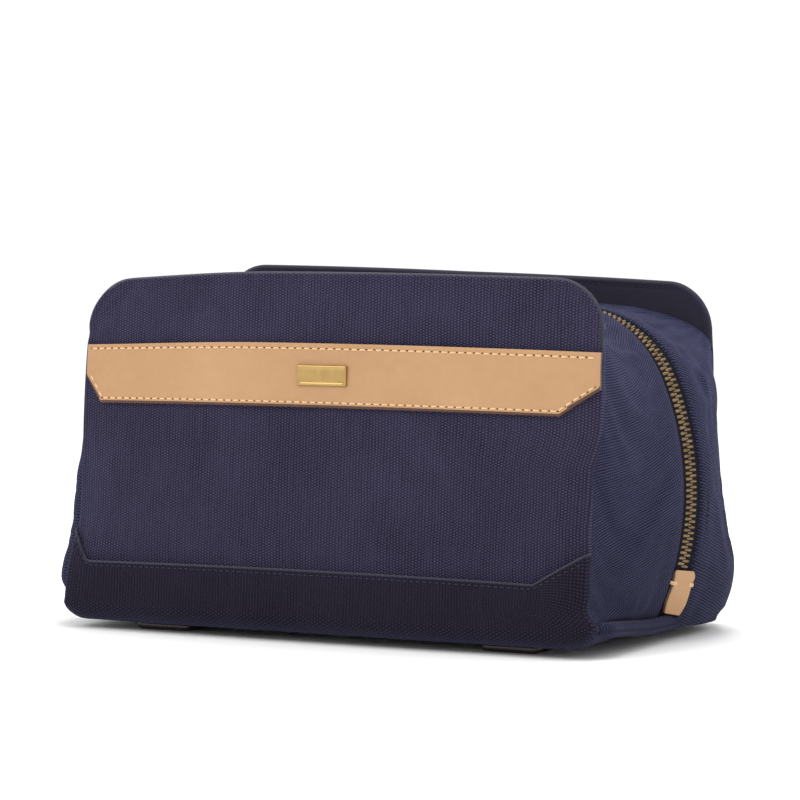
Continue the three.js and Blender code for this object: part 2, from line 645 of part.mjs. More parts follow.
function pullLink() {
  const height = LINK_TOP - LINK_BOTTOM;
  const outline = roundedRectangle(2 * LINK_HALF_WIDTH, height, 1.2);
  const frame = new THREE.ExtrudeGeometry(outline, { depth: 2 * PIN_HALF, bevelEnabled: false, curveSegments: 3 });
  frame.applyMatrix4(new THREE.Matrix4().set(0, 0, 1, 0, 1, 0, 0, 0, 0, 1, 0, 0, 0, 0, 0, 1));
  frame.translate(-PIN_HALF, 0, (LINK_TOP + LINK_BOTTOM) / 2);
  const middleBar = [-5.6, -7];
  const windowCut = (top, bottom) => box(4, 2 * WINDOW_HALF, top - bottom, 0, 0, (top + bottom) / 2);
  return subtract(frame, [
    windowCut(-PIN_HALF, middleBar[0]),
    windowCut(middleBar[1], LINK_BOTTOM + LINK_BAR),
  ]);
}

const FOB_HALF_THICKNESS = 1.9;
const FOB_TOP = LINK_BOTTOM + LINK_BAR + 1.3;
const FOB_SHOULDER = LINK_BOTTOM - 0.6;
const FOB_BOTTOM = -28;
const RIVET_DROP = -15;

function pullFob() {
  const neckBottom = FOB_SHOULDER - 1;
  const neck = box(2 * FOB_HALF_THICKNESS, 3.6, FOB_TOP - neckBottom, 0, 0, (FOB_TOP + neckBottom) / 2);
  const outline = roundedRectangle(FOB_SHOULDER - FOB_BOTTOM, 9, 2.5);
  const body = new THREE.ExtrudeGeometry(outline, {
    depth: 2 * FOB_HALF_THICKNESS, bevelEnabled: false, curveSegments: 4,
  });
  body.rotateY(Math.PI / 2).translate(-FOB_HALF_THICKNESS, 0, (FOB_SHOULDER + FOB_BOTTOM) / 2);
  const slotTop = LINK_BOTTOM + LINK_BAR + GAP;
  const slotBottom = LINK_BOTTOM - GAP;
  const slot = box(2 * (PIN_HALF + GAP), 12, slotTop - slotBottom, 0, 0, (slotTop + slotBottom) / 2);
  const hole = new THREE.CylinderGeometry(0.9, 0.9, 8, 12).rotateZ(Math.PI / 2).translate(0, 0, RIVET_DROP);
  return subtract(join([neck, body]), [slot, hole]);
}

function pullRivet() {
  const face = FOB_HALF_THICKNESS + GAP;
  const half = [[0.6, 0], [0.6, face], [1.9, face], [1.6, face + 0.5], [0, face + 0.8]];
  const profile = [...half.slice().reverse().map(([radius, x]) => [radius, -x]), ...half.slice(1)];
  const points = profile.map(([radius, x]) => new THREE.Vector2(radius, x));
  return new THREE.LatheGeometry(points, 16).rotateZ(Math.PI / 2).translate(0, 0, RIVET_DROP);
}

const parked = -sideDistance(SLIDER_HEIGHT);
const sliderPlace = zipPoint(parked, 0, 0);
const sliderOutward = zipLine(parked).outward;
const slider = new THREE.Group();
slider.position.copy(sliderPlace);
slider.rotation.y = Math.atan2(-sliderOutward.y, sliderOutward.x);
bag.add(slider);
addPiece('zip_slider', sliderBody(), BRASS, slider);

const pull = new THREE.Group();
pull.position.copy(zipPoint(parked, 0, -PULL_AXIS_HEIGHT));
bag.add(pull);
addPiece('pull_link', pullLink(), BRASS, pull);
addPiece('pull_fob', pullFob(), LEATHER, pull);
addPiece('pull_rivet', pullRivet(), BRASS, pull);

export default bag;
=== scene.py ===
# A zip-top shaving kit bag in canvas and leather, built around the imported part.
# Shapes are worked out in millimetres, in the part's frame, and become metres when a mesh is made.
import math

import bpy
import bmesh
import numpy as np
from mathutils import Matrix, Vector, noise


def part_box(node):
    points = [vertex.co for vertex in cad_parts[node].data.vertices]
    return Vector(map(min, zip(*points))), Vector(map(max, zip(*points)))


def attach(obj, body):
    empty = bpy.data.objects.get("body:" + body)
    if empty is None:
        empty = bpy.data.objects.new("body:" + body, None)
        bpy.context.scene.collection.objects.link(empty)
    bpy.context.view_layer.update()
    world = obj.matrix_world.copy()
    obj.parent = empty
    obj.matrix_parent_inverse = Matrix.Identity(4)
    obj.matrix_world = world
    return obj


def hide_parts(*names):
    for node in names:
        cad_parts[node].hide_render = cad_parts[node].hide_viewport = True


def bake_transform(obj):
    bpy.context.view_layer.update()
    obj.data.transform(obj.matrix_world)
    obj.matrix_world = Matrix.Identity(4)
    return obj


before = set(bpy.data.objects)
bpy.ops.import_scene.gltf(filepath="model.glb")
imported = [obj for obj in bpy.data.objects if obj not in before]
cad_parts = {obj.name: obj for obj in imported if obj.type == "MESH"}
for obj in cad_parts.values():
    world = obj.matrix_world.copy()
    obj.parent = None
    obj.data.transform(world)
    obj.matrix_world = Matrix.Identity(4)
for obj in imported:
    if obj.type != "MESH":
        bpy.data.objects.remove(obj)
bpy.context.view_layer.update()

MM = 0.001
FRONT, REAR = -1, 1
HALVES = ((FRONT, "front", "front_half"), (REAR, "rear", "rear_half"))
PATTERN_UNIT = 100.0                  # millimetres of cloth in one unit of pattern coordinates


def box_mm(node):
    low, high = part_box(node)
    return np.array(low) / MM, np.array(high) / MM


def lerp(a, b, t):
    return a + (b - a) * t


def smooth(value, start=0.0, end=1.0):
    """A soft step from 0 at the start to 1 at the end."""
    t = np.clip((value - start) / (end - start), 0, 1)
    return t * t * (3 - 2 * t)


def bell(value, centre, width):
    """A smooth rise to 1 at the centre, down to about a third at the width either side."""
    return np.exp(-(((value - centre) / width) ** 2))


# ---- Driving dimensions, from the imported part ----
cover_low, cover_high = box_mm("front_cover")
base_low = box_mm("base_cover")[0]
teeth_low, teeth_high = box_mm("front_zip_teeth")
tab_high = box_mm("right_zip_end_tab")[1]
band_low = box_mm("leather_band")[0]
boot_low = box_mm("front_boot")[0]
plate_low, plate_high = box_mm("nameplate")

FOOT = base_low[2]                    # the base cloth's underside
FOLD = cover_low[2]                   # the panels meet the base here
CROWN = 2.0                           # a panel's top edge is this much higher at its middle
FIN_TOP = cover_high[2] - CROWN
CORNER = 21.0                         # radius of a fin's top corners
HALF_BASE = cover_high[0] + 0.2       # half length of a panel at the underside, and at its top
HALF_TOP = HALF_BASE - 3.5
BOW_BASE, BOW_TOP = 4.0, 9.0          # how far a panel's middle stands out past its ends
DEPTH_BASE = -cover_low[1] - BOW_BASE + 0.5
DEPTH_TOP = DEPTH_BASE - 14.5
SEAM_LEVEL_HALF = 70.5                # the gusset's seam is level over this half length
SEAM_END_HEIGHT = 130.0               # and reaches the panels' ends at this height
RIM_RADIUS = 2.1                      # half of a fin's thickness

TEETH_TOP = 0.4                       # the teeth's outer face is this far below the zip line
SIDE_RADIUS = 130.5                   # the zip's run: level top, shoulder arc, side arc
SIDE_CENTRE = np.array([teeth_high[0] + TEETH_TOP - SIDE_RADIUS, 65.0])
SHOULDER_RADIUS = 51.5
SHOULDER_ANGLE = math.radians(23.2)
ZIP_TOP = teeth_high[2] + TEETH_TOP
TOP_RUN = SIDE_CENTRE[0] + (SIDE_RADIUS - SHOULDER_RADIUS) * math.cos(SHOULDER_ANGLE)
SHOULDER_RUN = SHOULDER_RADIUS * (math.pi / 2 - SHOULDER_ANGLE)
ZIP_BOTTOM = 13.0
GUSSET_BOTTOM = ZIP_BOTTOM - 5.5
GUSSET_EDGE = 5.3                     # the gusset's turned edges stop this far from the zip line
ZIP_TURN = math.tan(math.radians(24))  # the right side of the zip turns towards the front by this slope
BASE_RADIUS = FOLD - FOOT
BASE_ARC = BASE_RADIUS * math.pi / 2
BASE_HALF_FLAT = DEPTH_BASE - BASE_RADIUS
BASE_RUN = 2 * BASE_ARC + 2 * BASE_HALF_FLAT  # from fold to fold round the base
LEFT_ROUNDING, RIGHT_ROUNDING = 9.0, 16.0  # the base's underside curves up over these lengths
ROLL_HEIGHT = 53.0                    # the front's left end rolls back furthest here
BOOT_TOP, BOOT_CORNER = boot_low[2] + 18.2, 14.5
BOOT_CUT_LEFT, BOOT_CUT_RIGHT = 10.5, 24.0
BOOT_RUN = 40.0                       # the boot's cloth from its top edge to under the base
BOOT_WALL = 0.62                      # this share of it lies on the panel
BOOT_SHORT = 0.6                      # the boot's ends stop short of the base's
GUSSET_SPAN = 65.0                    # the gusset's cloth from the panel's seam to the zip
GUSSET_STITCHES = 3.6                 # the gusset's stitches run this far from the zip
RIM_STITCHES = 3.4                    # a fin's stitches run this far inside its edge
CLOTH_EASE = -0.006                   # the gusset is cut this share larger than its seams need
LARGEST_SETTLING = 3.0
HALF_DEPTH_WELT = 76.0

# ---- Mesh helpers ----


class Shape:
    """Vertices in millimetres, faces and pattern coordinates, gathered from parts."""

    def __init__(self):
        self.points, self.faces, self.patterns, self.slots = [], [], [], []
        self.count = 0

    def add(self, points, faces, pattern=None, slot=0):
        points = np.asarray(points, float).reshape(-1, 3)
        self.points.append(points)
        self.patterns.append(points[:, :2] if pattern is None else np.asarray(pattern, float).reshape(-1, 2))
        self.faces.extend([[index + self.count for index in face] for face in faces])
        self.slots.extend([slot] * len(faces))
        self.count += len(points)

    def piece(self, name, looks, sharp=50):
        name = name.replace(" ", "-")
        mesh = bpy.data.meshes.new(name)
        points = np.concatenate(self.points) * MM
        mesh.from_pydata(points.tolist(), [], self.faces)
        for look in looks if isinstance(looks, list) else [looks]:
            mesh.materials.append(look)
        pattern = np.concatenate(self.patterns)
        corner_vertex = np.empty(len(mesh.loops), int)
        mesh.loops.foreach_get("vertex_index", corner_vertex)
        layer = mesh.uv_layers.new(name="pattern")
        layer.data.foreach_set("uv", (pattern[corner_vertex] / PATTERN_UNIT).ravel())
        mesh.polygons.foreach_set("material_index", self.slots)
        mesh.shade_smooth()
        work = bmesh.new()
        work.from_mesh(mesh)
        bmesh.ops.recalc_face_normals(work, faces=work.faces)
        work.to_mesh(mesh)
        work.free()
        mesh.set_sharp_from_angle(angle=math.radians(sharp))
        return link(bpy.data.objects.new(name, mesh))


def link(obj):
    bpy.context.scene.collection.objects.link(obj)
    return obj


def quads(at):
    """The four-sided faces between the rows and columns of a grid of vertex numbers."""
    return np.stack([at[:-1, :-1], at[:-1, 1:], at[1:, 1:], at[1:, :-1]], -1).reshape(-1, 4)


def sheet_shape(outer, inner, pattern, rim_slot=0, marks=None):
    """A closed sheet between two matching grids of points; marks are the outer cells with the second look."""
    rows, columns = outer.shape[:2]
    at = np.arange(2 * rows * columns).reshape(2, rows, columns)
    outline = np.concatenate([at[:, 0, :], at[:, 1:, -1], at[:, -1, -2::-1], at[:, -2:0:-1, 0]], axis=1)
    after = np.roll(outline, -1, axis=1)
    rim = np.stack([outline[0], outline[1], after[1], after[0]], -1)
    shape = Shape()
    faces = np.concatenate([quads(at[0]), quads(at[1])[:, ::-1], rim]).tolist()
    points = np.concatenate([outer.reshape(-1, 3), inner.reshape(-1, 3)])
    shape.add(points, faces, np.tile(pattern.reshape(-1, 2), (2, 1)))
    if marks is not None:
        cells = marks[:-1, :-1].astype(int)
        shape.slots[:cells.size] = cells.ravel().tolist()
    if rim_slot:
        shape.slots[-len(rim):] = [rim_slot] * len(rim)
    return shape


def spaced(start, end, step):
    return np.linspace(start, end, max(2, int(round(abs(end - start) / step)) + 1))


def rolled(start, end, step, radius, both=True):
    """Positions from start to end, closer together over a rounded edge at the end, or at both ends."""
    turn = radius * (1 - np.cos(np.linspace(0, math.pi / 2, 6)))
    low = start + turn if both else np.array([start])
    high = end - turn[::-1]
    return np.concatenate([low[:-1] if both else [], spaced(low[-1], high[0], step), high[1:]])


def edge_drop(distance, radius):
    """How far a rounded edge falls away, by distance from the outline."""
    inside = np.clip(radius - distance, 0, radius)
    return radius - np.sqrt(np.maximum(radius ** 2 - inside ** 2, 0))


def ripple(x, y, size, seed):
    """Soft unevenness of cloth, from -1 to 1."""
    flat = np.stack([np.ravel(x), np.ravel(y)], -1) / size
    values = [noise.noise(Vector((a, b, seed))) for a, b in flat]
    return np.array(values).reshape(np.shape(x))


def follow(points, normals, step):
    """Points and normals at equal steps along a line."""
    lengths = np.concatenate([[0], np.cumsum(np.linalg.norm(np.diff(points, axis=0), axis=1))])
    stops = np.linspace(0, lengths[-1], max(2, int(round(lengths[-1] / step)) + 1))
    at = lambda values: np.stack([np.interp(stops, lengths, values[:, k]) for k in range(3)], -1)
    return at(points), at(normals)


def add_tube(shape, path, radii, up, sides=6, flat=1.0):
    """A closed tube along a path; up is the direction that its flattened side faces."""
    along = np.gradient(path, axis=0)
    along /= np.linalg.norm(along, axis=1, keepdims=True)
    side = np.cross(along, up)
    side /= np.linalg.norm(side, axis=1, keepdims=True)
    over = np.cross(side, along)
    turn = np.linspace(0, 2 * math.pi, sides, endpoint=False)
    ring = side[:, None] * np.cos(turn)[None, :, None] + over[:, None] * np.sin(turn)[None, :, None] * flat
    points = path[:, None] + ring * np.asarray(radii, float)[:, None, None]
    count = len(path)
    faces = [list(range(sides))[::-1], list(range((count - 1) * sides, count * sides))]
    for ring_at in range(count - 1):
        for k in range(sides):
            a, b = ring_at * sides + k, ring_at * sides + (k + 1) % sides
            faces.append([a, b, b + sides, a + sides])
    shape.add(points.reshape(-1, 3), faces)


def stitch_row(name, points, normals, look, pitch=3.0, length=2.1, radius=0.27, proud=0.05):
    """A row of thread stitches that dip into the cloth at both ends."""
    stops, up = follow(points, normals, pitch)
    shape = Shape()
    dip = np.array([-1.3, 0.2, 0.55, 0.2, -1.3]) * radius + proud
    for start, end, normal in zip(stops[:-1], stops[1:], up[:-1]):
        share = np.linspace(0, length / pitch, 5)[:, None]
        path = lerp(start, end, share) + normal * dip[:, None]
        add_tube(shape, path, radius * np.array([0.7, 1, 1, 1, 0.7]), normal)
    return shape.piece(name, look)


# ---- Surfaces of the bag ----


def half_length(z):
    return lerp(HALF_BASE, HALF_TOP, (z - FOOT) / (FIN_TOP - FOOT))


def outline_distance(x, z):
    """How far a point of a panel is inside its outline, with the round top corners."""
    beyond = np.abs(x) - (half_length(z) - CORNER)
    above = z - (FIN_TOP - CORNER)
    corner = CORNER - np.hypot(np.maximum(beyond, 0), np.maximum(above, 0))
    straight = np.minimum(half_length(z) - np.abs(x), FIN_TOP - z)
    return np.where((beyond > 0) & (above > 0), corner, straight)


def end_roll(side, x, z):
    """How far a panel's ends roll back below its fins; the front's left end rolls furthest."""
    near = half_length(z) - np.abs(x)
    loose = (side == FRONT) & (x < 0)
    height_share = np.where(z > ROLL_HEIGHT, bell(z, ROLL_HEIGHT, 38), bell(z, ROLL_HEIGHT, 20))
    deep = np.where(loose, 4.6 * height_share, 2.5 * (1 - smooth(z, 100, 125)))
    share = np.clip(1 - near / np.where(loose, 18.0, 14.0), 0, 1)
    return deep * share ** 1.5


def sag(side, x, z):
    """Soft hollows and swells of the cloth over the board."""
    swell = 0.55 * ripple(x, z * 0.8, 42, 3.1 * side) + 0.25 * ripple(x, z, 17, 7.3 * side)
    swell = swell * smooth(outline_distance(x, z), 3, 16)
    if side == FRONT:
        swell = swell - 0.9 * bell(z - 140 - 0.85 * (x + 120), 0, 3) * smooth(-x, 92, 108)
    return swell


def edge_pull(side, x, z):
    """How far the front's right end is drawn in below the leather band, where the gusset pulls on it."""
    if side == REAR:
        return 0 * x
    drawn = 4.6 * (1 - smooth(z, 76, 98)) * smooth(z, FOLD, 24) + 1.6 * bell(z, 19, 4)
    return drawn * smooth(x, 50, HALF_BASE) + corner_spread(x) * (1 - smooth(z, 22, 50))


def corner_spread(x):
    """How far the front's left bottom corner spreads outwards."""
    return 2.0 * smooth(-x, 90, HALF_BASE)


def panel(side, x, z, inset, soft=True):
    """Points of the front or rear panel, `inset` into the bag from the cover's outer face."""
    x, z = np.broadcast_arrays(np.asarray(x, float), np.asarray(z, float))
    rise = (z - FOOT) / (FIN_TOP - FOOT)
    arch = 1 - (x / half_length(z)) ** 2
    out = lerp(DEPTH_BASE, DEPTH_TOP, rise) + lerp(BOW_BASE, BOW_TOP, rise) * arch - end_roll(side, x, z)
    if soft:
        out = out + sag(side, x, z)
    if side == REAR:
        tilt = (0.034 * np.maximum(-x, 0) - 0.02 * np.maximum(x, 0)) * smooth(z, 110, FIN_TOP)
    else:
        tilt = -2.8 * smooth(-x, 30, 128) * smooth(z, 118, 140)
        tilt = tilt - 1.2 * smooth(-x, 98, 126) * smooth(z, 130, FIN_TOP)
    return np.stack([x - edge_pull(side, x, z), side * (out - inset), z + CROWN * rise * arch + tilt], -1)


def way_of(distance):
    """-1 for the left of the bag and 1 for the right."""
    return np.where(distance < 0, -1.0, 1.0)


def zip_line(distance):
    """Point and outward direction of the zip line, by distance from the top middle; negative to the left."""
    run = np.abs(distance)
    on_side = run > TOP_RUN + SHOULDER_RUN
    on_shoulder = (run > TOP_RUN) & ~on_side
    angle = np.where(on_side, SHOULDER_ANGLE - (run - TOP_RUN - SHOULDER_RUN) / SIDE_RADIUS,
                     np.where(on_shoulder, math.pi / 2 - (run - TOP_RUN) / SHOULDER_RADIUS, math.pi / 2))
    radius = np.where(on_side, SIDE_RADIUS, SHOULDER_RADIUS)
    centre_x = np.where(on_side, SIDE_CENTRE[0], np.where(on_shoulder, TOP_RUN, run))
    centre_z = np.where(on_side, SIDE_CENTRE[1], ZIP_TOP - SHOULDER_RADIUS)
    mirror = way_of(distance)
    outward = np.stack([mirror * np.cos(angle), np.zeros_like(angle), np.sin(angle)], -1)
    point = np.stack([mirror * centre_x, np.zeros_like(angle), centre_z], -1) + outward * radius[..., None]
    return point, outward


def side_distance(z):
    """Distance along the zip line from the top middle to a height on the side arc."""
    angle = math.asin((z - SIDE_CENTRE[1]) / SIDE_RADIUS)
    return TOP_RUN + SHOULDER_RUN + SIDE_RADIUS * (SHOULDER_ANGLE - angle)


ZIP_RUN = side_distance(ZIP_BOTTOM)
GUSSET_RUN = side_distance(GUSSET_BOTTOM)


def zip_point(distance, y, depth):
    """A point at a distance along the zip, `y` across it and `depth` into the bag."""
    distance, y, depth = np.broadcast_arrays(*(np.asarray(v, float) for v in (distance, y, depth)))
    point, outward = zip_line(distance)
    turn = ZIP_TURN * smooth(distance, TOP_RUN + 8, TOP_RUN + SHOULDER_RUN)
    lift = y * turn - depth
    across = y * np.sqrt(1 - 0.16 * (turn / ZIP_TURN)) - depth * turn * 0.9
    moved = point + outward * lift[..., None]
    moved[..., 1] = across
    return moved


def seam_line(side, distance):
    """Where the gusset is sewn to a panel, for the same distance along the zip line."""
    run = np.abs(distance)
    mirror = way_of(distance)
    turn = np.clip((run - TOP_RUN) / SHOULDER_RUN, 0, 1) * math.pi / 2
    end_half = half_length(SEAM_END_HEIGHT)
    fall = np.clip((run - TOP_RUN - SHOULDER_RUN) / (ZIP_RUN - TOP_RUN - SHOULDER_RUN), 0, 1.1)
    z = np.where(run > TOP_RUN + SHOULDER_RUN, lerp(SEAM_END_HEIGHT, ZIP_BOTTOM, fall),
                 SEAM_END_HEIGHT + (ZIP_TOP - SEAM_END_HEIGHT) * np.cos(turn))
    x = np.where(run > TOP_RUN + SHOULDER_RUN, half_length(z),
                 np.where(run > TOP_RUN, SEAM_LEVEL_HALF + (end_half - SEAM_LEVEL_HALF) * np.sin(turn),
                          SEAM_LEVEL_HALF * run / TOP_RUN))
    inset = lerp(3.4, 4.9, smooth(z, 126, 138))
    tucked = 0.8 * (1 - smooth(z, 126, 138)) + 4.5 * (1 - smooth(z, 7, 15))
    return panel(side, mirror * (x - tucked), z, inset, soft=False)


def gusset(side, distance, across, depth=0.0):
    """The gusset's surface: across 0 is the panel seam and 1 the turned edge beside the zip."""
    distance, across = np.broadcast_arrays(np.asarray(distance, float), np.asarray(across, float))
    outward = zip_line(distance)[1]
    return sewn_gusset(side, distance, across) + settling(side, distance, across) - outward * depth[..., None]


def sewn_gusset(side, distance, across):
    """The gusset as it is sewn, before its cloth settles."""
    distance, across = np.broadcast_arrays(np.asarray(distance, float), np.asarray(across, float))
    seam = seam_line(side, distance)
    edge = zip_point(distance, side * GUSSET_EDGE, 0)
    fullness = lerp(0.75, 0.45, smooth(edge[..., 2], 50, 110))
    bend = zip_point(distance, lerp(edge[..., 1], seam[..., 1], fullness), 0)
    turn = ZIP_TURN * smooth(distance, TOP_RUN + 8, TOP_RUN + SHOULDER_RUN)
    outward = zip_line(distance)[1]
    bend -= outward * ((bend[..., 1] - edge[..., 1]) * turn * 0.8)[..., None]
    t = across[..., None]
    point = (1 - t) ** 2 * seam + 2 * t * (1 - t) * bend + t ** 2 * edge
    return point + outward * gusset_relief(side, distance, across, point)[..., None]


def settle_cloth(side):
    """Simulates the gusset as loose cloth, held along its seams, and gives how far each point moves."""
    stations = spaced(-GUSSET_RUN, GUSSET_RUN, 3.5)
    shares = np.linspace(0, 1, 21)
    sewn = sewn_gusset(side, *np.meshgrid(stations, shares))
    at = np.arange(sewn[..., 0].size).reshape(sewn.shape[:2])
    zip_rows = at[-4:]                # the last rows are stitched to the zip's tape
    mesh = bpy.data.meshes.new("loose cloth")
    mesh.from_pydata((sewn * MM).reshape(-1, 3).tolist(), [], quads(at).tolist())
    cloth = link(bpy.data.objects.new("loose cloth", mesh))
    scene = bpy.context.scene
    held = cloth.vertex_groups.new(name="held")
    held.add(np.concatenate([at[0], zip_rows.ravel(), at[:, 0], at[:, -1]]).tolist(), 1.0, "REPLACE")
    settings = cloth.modifiers.new("cloth", "CLOTH").settings
    settings.quality = 6
    settings.mass = 0.2
    settings.tension_stiffness = settings.compression_stiffness = 25
    settings.shear_stiffness = 10
    settings.bending_stiffness = 0.5
    settings.shrink_min = CLOTH_EASE
    settings.vertex_group_mass = "held"
    for step in range(1, 26):
        scene.frame_set(step)
    settled = np.empty(sewn.size)
    shape = cloth.evaluated_get(bpy.context.evaluated_depsgraph_get()).data
    shape.vertices.foreach_get("co", settled)
    scene.frame_set(1)
    bpy.data.objects.remove(cloth)
    bpy.data.meshes.remove(mesh)
    return stations, np.clip(settled.reshape(sewn.shape) / MM - sewn, -LARGEST_SETTLING, LARGEST_SETTLING)


def settling(side, distance, across):
    """How far the cloth has settled at a place on the gusset, between the points that were simulated."""
    stations, moves = SETTLED[side]
    column = np.clip((distance - stations[0]) / (stations[1] - stations[0]), 0, len(stations) - 1.001)
    row = np.clip(across * (len(moves) - 1), 0, len(moves) - 1.001)
    i, j = column.astype(int), row.astype(int)
    along, over = (column - i)[..., None], (row - j)[..., None]
    near = lerp(moves[j, i], moves[j, i + 1], along)
    far = lerp(moves[j + 1, i], moves[j + 1, i + 1], along)
    return lerp(near, far, over)


def gusset_relief(side, distance, across, point):
    """Swells, puckers and creases of the loose gusset, in millimetres outwards."""
    z = point[..., 2]
    t = np.clip(across, 0, 1)
    front_left = (side == FRONT) & (distance < 0)
    rear_left = (side == REAR) & (distance < 0)
    rear_right = (side == REAR) & (distance > 0)
    low_swell = np.where(z > 25, bell(z, 25, 24), bell(z, 25, 10))
    left_swell = 8.6 * low_swell + 4.4 * bell(z, 62, 20) + 1.6 * bell(z, 105, 25)
    right_swell = 5.6 * np.where(z > 31, bell(z, 31, 17), bell(z, 31, 26))
    right_swell = right_swell + 0.6 * bell(z, 66, 22) + 5.8 * bell(z, 112, 24)
    swell = front_left * left_swell * np.sin(math.pi * t ** 0.5)
    swell = swell + rear_left * 6.0 * low_swell * np.sin(math.pi * t ** 0.6)
    swell = swell + rear_right * right_swell * np.sin(math.pi * t ** 0.7)
    drape = np.where(rear_right, 0.9, 0.4) * (bell(t, 0.62, 0.07) - bell(t, 0.48, 0.07)) * bell(z, 75, 45)
    reach = bell(np.abs(distance), TOP_RUN + 22, 22) * t ** 1.5 * (1 - t)
    pucker = 2.6 * np.sin(distance / 1.5 + 3.0 * t) * reach
    loose = 1.5 * ripple(distance, across * 60, 34, 11.7 * side)
    loose = loose + 0.7 * ripple(distance, across * 60, 13, 5.2 * side)
    lip = 0.5 * bell(t, 0.93, 0.06)
    return swell + drape + pucker + loose * np.sin(math.pi * t) + lip


def rib_shift(side, distance):
    """How far the ribs' numbering at the panel's seam differs from the zip's, so that they run level."""
    run = np.abs(distance)
    corner = TOP_RUN + SHOULDER_RUN
    level = seam_line(side, distance)[..., 2]
    angle = np.arcsin(np.clip((level - SIDE_CENTRE[1]) / SIDE_RADIUS, -1, 1))
    on_side = corner + SIDE_RADIUS * (SHOULDER_ANGLE - angle) - run
    corner_angle = math.asin((SEAM_END_HEIGHT - SIDE_CENTRE[1]) / SIDE_RADIUS)
    at_corner = -SIDE_RADIUS * (corner_angle - SHOULDER_ANGLE)
    on_shoulder = at_corner * np.clip((run - TOP_RUN) / SHOULDER_RUN, 0, 1)
    return way_of(distance) * np.where(run > corner, on_side, on_shoulder)


SETTLED = {side: settle_cloth(side) for side in (FRONT, REAR)}


def normals_of(surface, a, b, facing):
    """Unit normals of a surface of two values, on the side that `facing` points to."""
    step = 0.01
    along = surface(a + step, b) - surface(a - step, b)
    over = surface(a, b + step) - surface(a, b - step)
    normal = np.cross(along, over)
    normal /= np.linalg.norm(normal, axis=-1, keepdims=True)
    return normal * np.sign((normal * facing).sum(-1, keepdims=True))


def boot_edge(x):
    """Height of the boot's top edge, which climbs at both ends."""
    cut = np.where(x < 0, BOOT_CUT_LEFT, BOOT_CUT_RIGHT)
    rise = BOOT_CORNER * np.clip((np.abs(x) - (HALF_BASE - 1 - cut)) / cut, 0, 1)
    return BOOT_TOP + 1.4 * (1 - (x / HALF_BASE) ** 2) + rise


def base_section(x, way, offset):
    """The base cloth by distance along it from the front fold, with rounded ends; offset is outwards."""
    side = np.where(way < BASE_RUN / 2, -1.0, 1.0)
    from_end = np.minimum(way, BASE_RUN - way)
    turn = np.clip(from_end / BASE_ARC, 0, 1) * math.pi / 2
    flat = np.maximum(from_end - BASE_ARC, 0)
    bow = BOW_BASE * (1 - (x / HALF_BASE) ** 2)
    radius = BASE_RADIUS + offset
    out = BASE_HALF_FLAT + bow * np.cos(turn) ** 0.5 + radius * np.cos(turn) - flat
    drop = radius * np.sin(turn)
    rounding = np.where(x < 0, LEFT_ROUNDING, RIGHT_ROUNDING)
    over = np.clip((np.abs(x) - (HALF_BASE - rounding)) / (rounding + 0.01), 0, 1)
    drop = drop * np.sqrt(1 - over ** 2)
    spread = np.where(side < 0, 1, 0) * corner_spread(x) * smooth(out, 20, 70)
    return np.stack([x - spread, side * out, FOLD - drop], -1)


# ---- Materials ----


class Nodes:
    """Builds one material's node tree in short calls; an input is a number or another node's output."""

    def __init__(self, name):
        self.material = bpy.data.materials.new(name)
        self.material.use_nodes = True
        self.tree = self.material.node_tree
        self.surface = self.tree.nodes["Principled BSDF"]

    def node(self, kind, inputs=None, output=0, **settings):
        made = self.tree.nodes.new("ShaderNode" + kind)
        for name, value in settings.items():
            setattr(made, name, value)
        for name, value in (inputs or {}).items():
            self.put(made.inputs[name], value)
        return made.outputs[output]

    def put(self, socket, value):
        if isinstance(value, bpy.types.NodeSocket):
            self.tree.links.new(value, socket)
        else:
            socket.default_value = value

    def math(self, operation, a, b=0.0, c=0.0):
        return self.node("Math", {0: a, 1: b, 2: c}, operation=operation)

    def mix(self, share, a, b):
        mixed = self.tree.nodes.new("ShaderNodeMix")
        mixed.data_type = "RGBA"
        for socket, value in ((mixed.inputs[0], share), (mixed.inputs[6], a), (mixed.inputs[7], b)):
            self.put(socket, value)
        return mixed.outputs[2]

    def noise(self, scale, detail=3.0, where=None, roughness=0.55):
        inputs = {"Scale": scale, "Detail": detail, "Roughness": roughness}
        if where is not None:
            inputs["Vector"] = where
        return self.node("TexNoise", inputs, output="Fac")

    def place(self):
        """The rest position in metres; the object's own coordinates."""
        return self.node("TexCoord", output="Object")

    def pattern(self):
        """The two pattern coordinates, in millimetres of cloth."""
        split = self.tree.nodes.new("ShaderNodeSeparateXYZ")
        self.put(split.inputs[0], self.node("UVMap", uv_map="pattern"))
        return [self.math("MULTIPLY", split.outputs[k], PATTERN_UNIT) for k in (0, 1)]

    def bump(self, height, distance, strength=1.0):
        made = self.node("Bump", {"Height": height, "Distance": distance, "Strength": strength})
        self.put(self.surface.inputs["Normal"], made)

    def finish(self, **values):
        for name, value in values.items():
            words = [word if word.isupper() else word.capitalize() for word in name.split("_")]
            self.put(self.surface.inputs[" ".join(words)], value)
        return self.material


def rgb(red, green, blue):
    """A colour given as 0-255 screen values, as the linear values that shaders take."""
    scaled = [value / 255 for value in (red, green, blue)]
    return (*[v / 12.92 if v <= 0.04045 else ((v + 0.055) / 1.055) ** 2.4 for v in scaled], 1.0)


PAINTED_SHADE_BELOW = 0.11                   # metres above the floor; below this the canvas colour darkens as painted shade
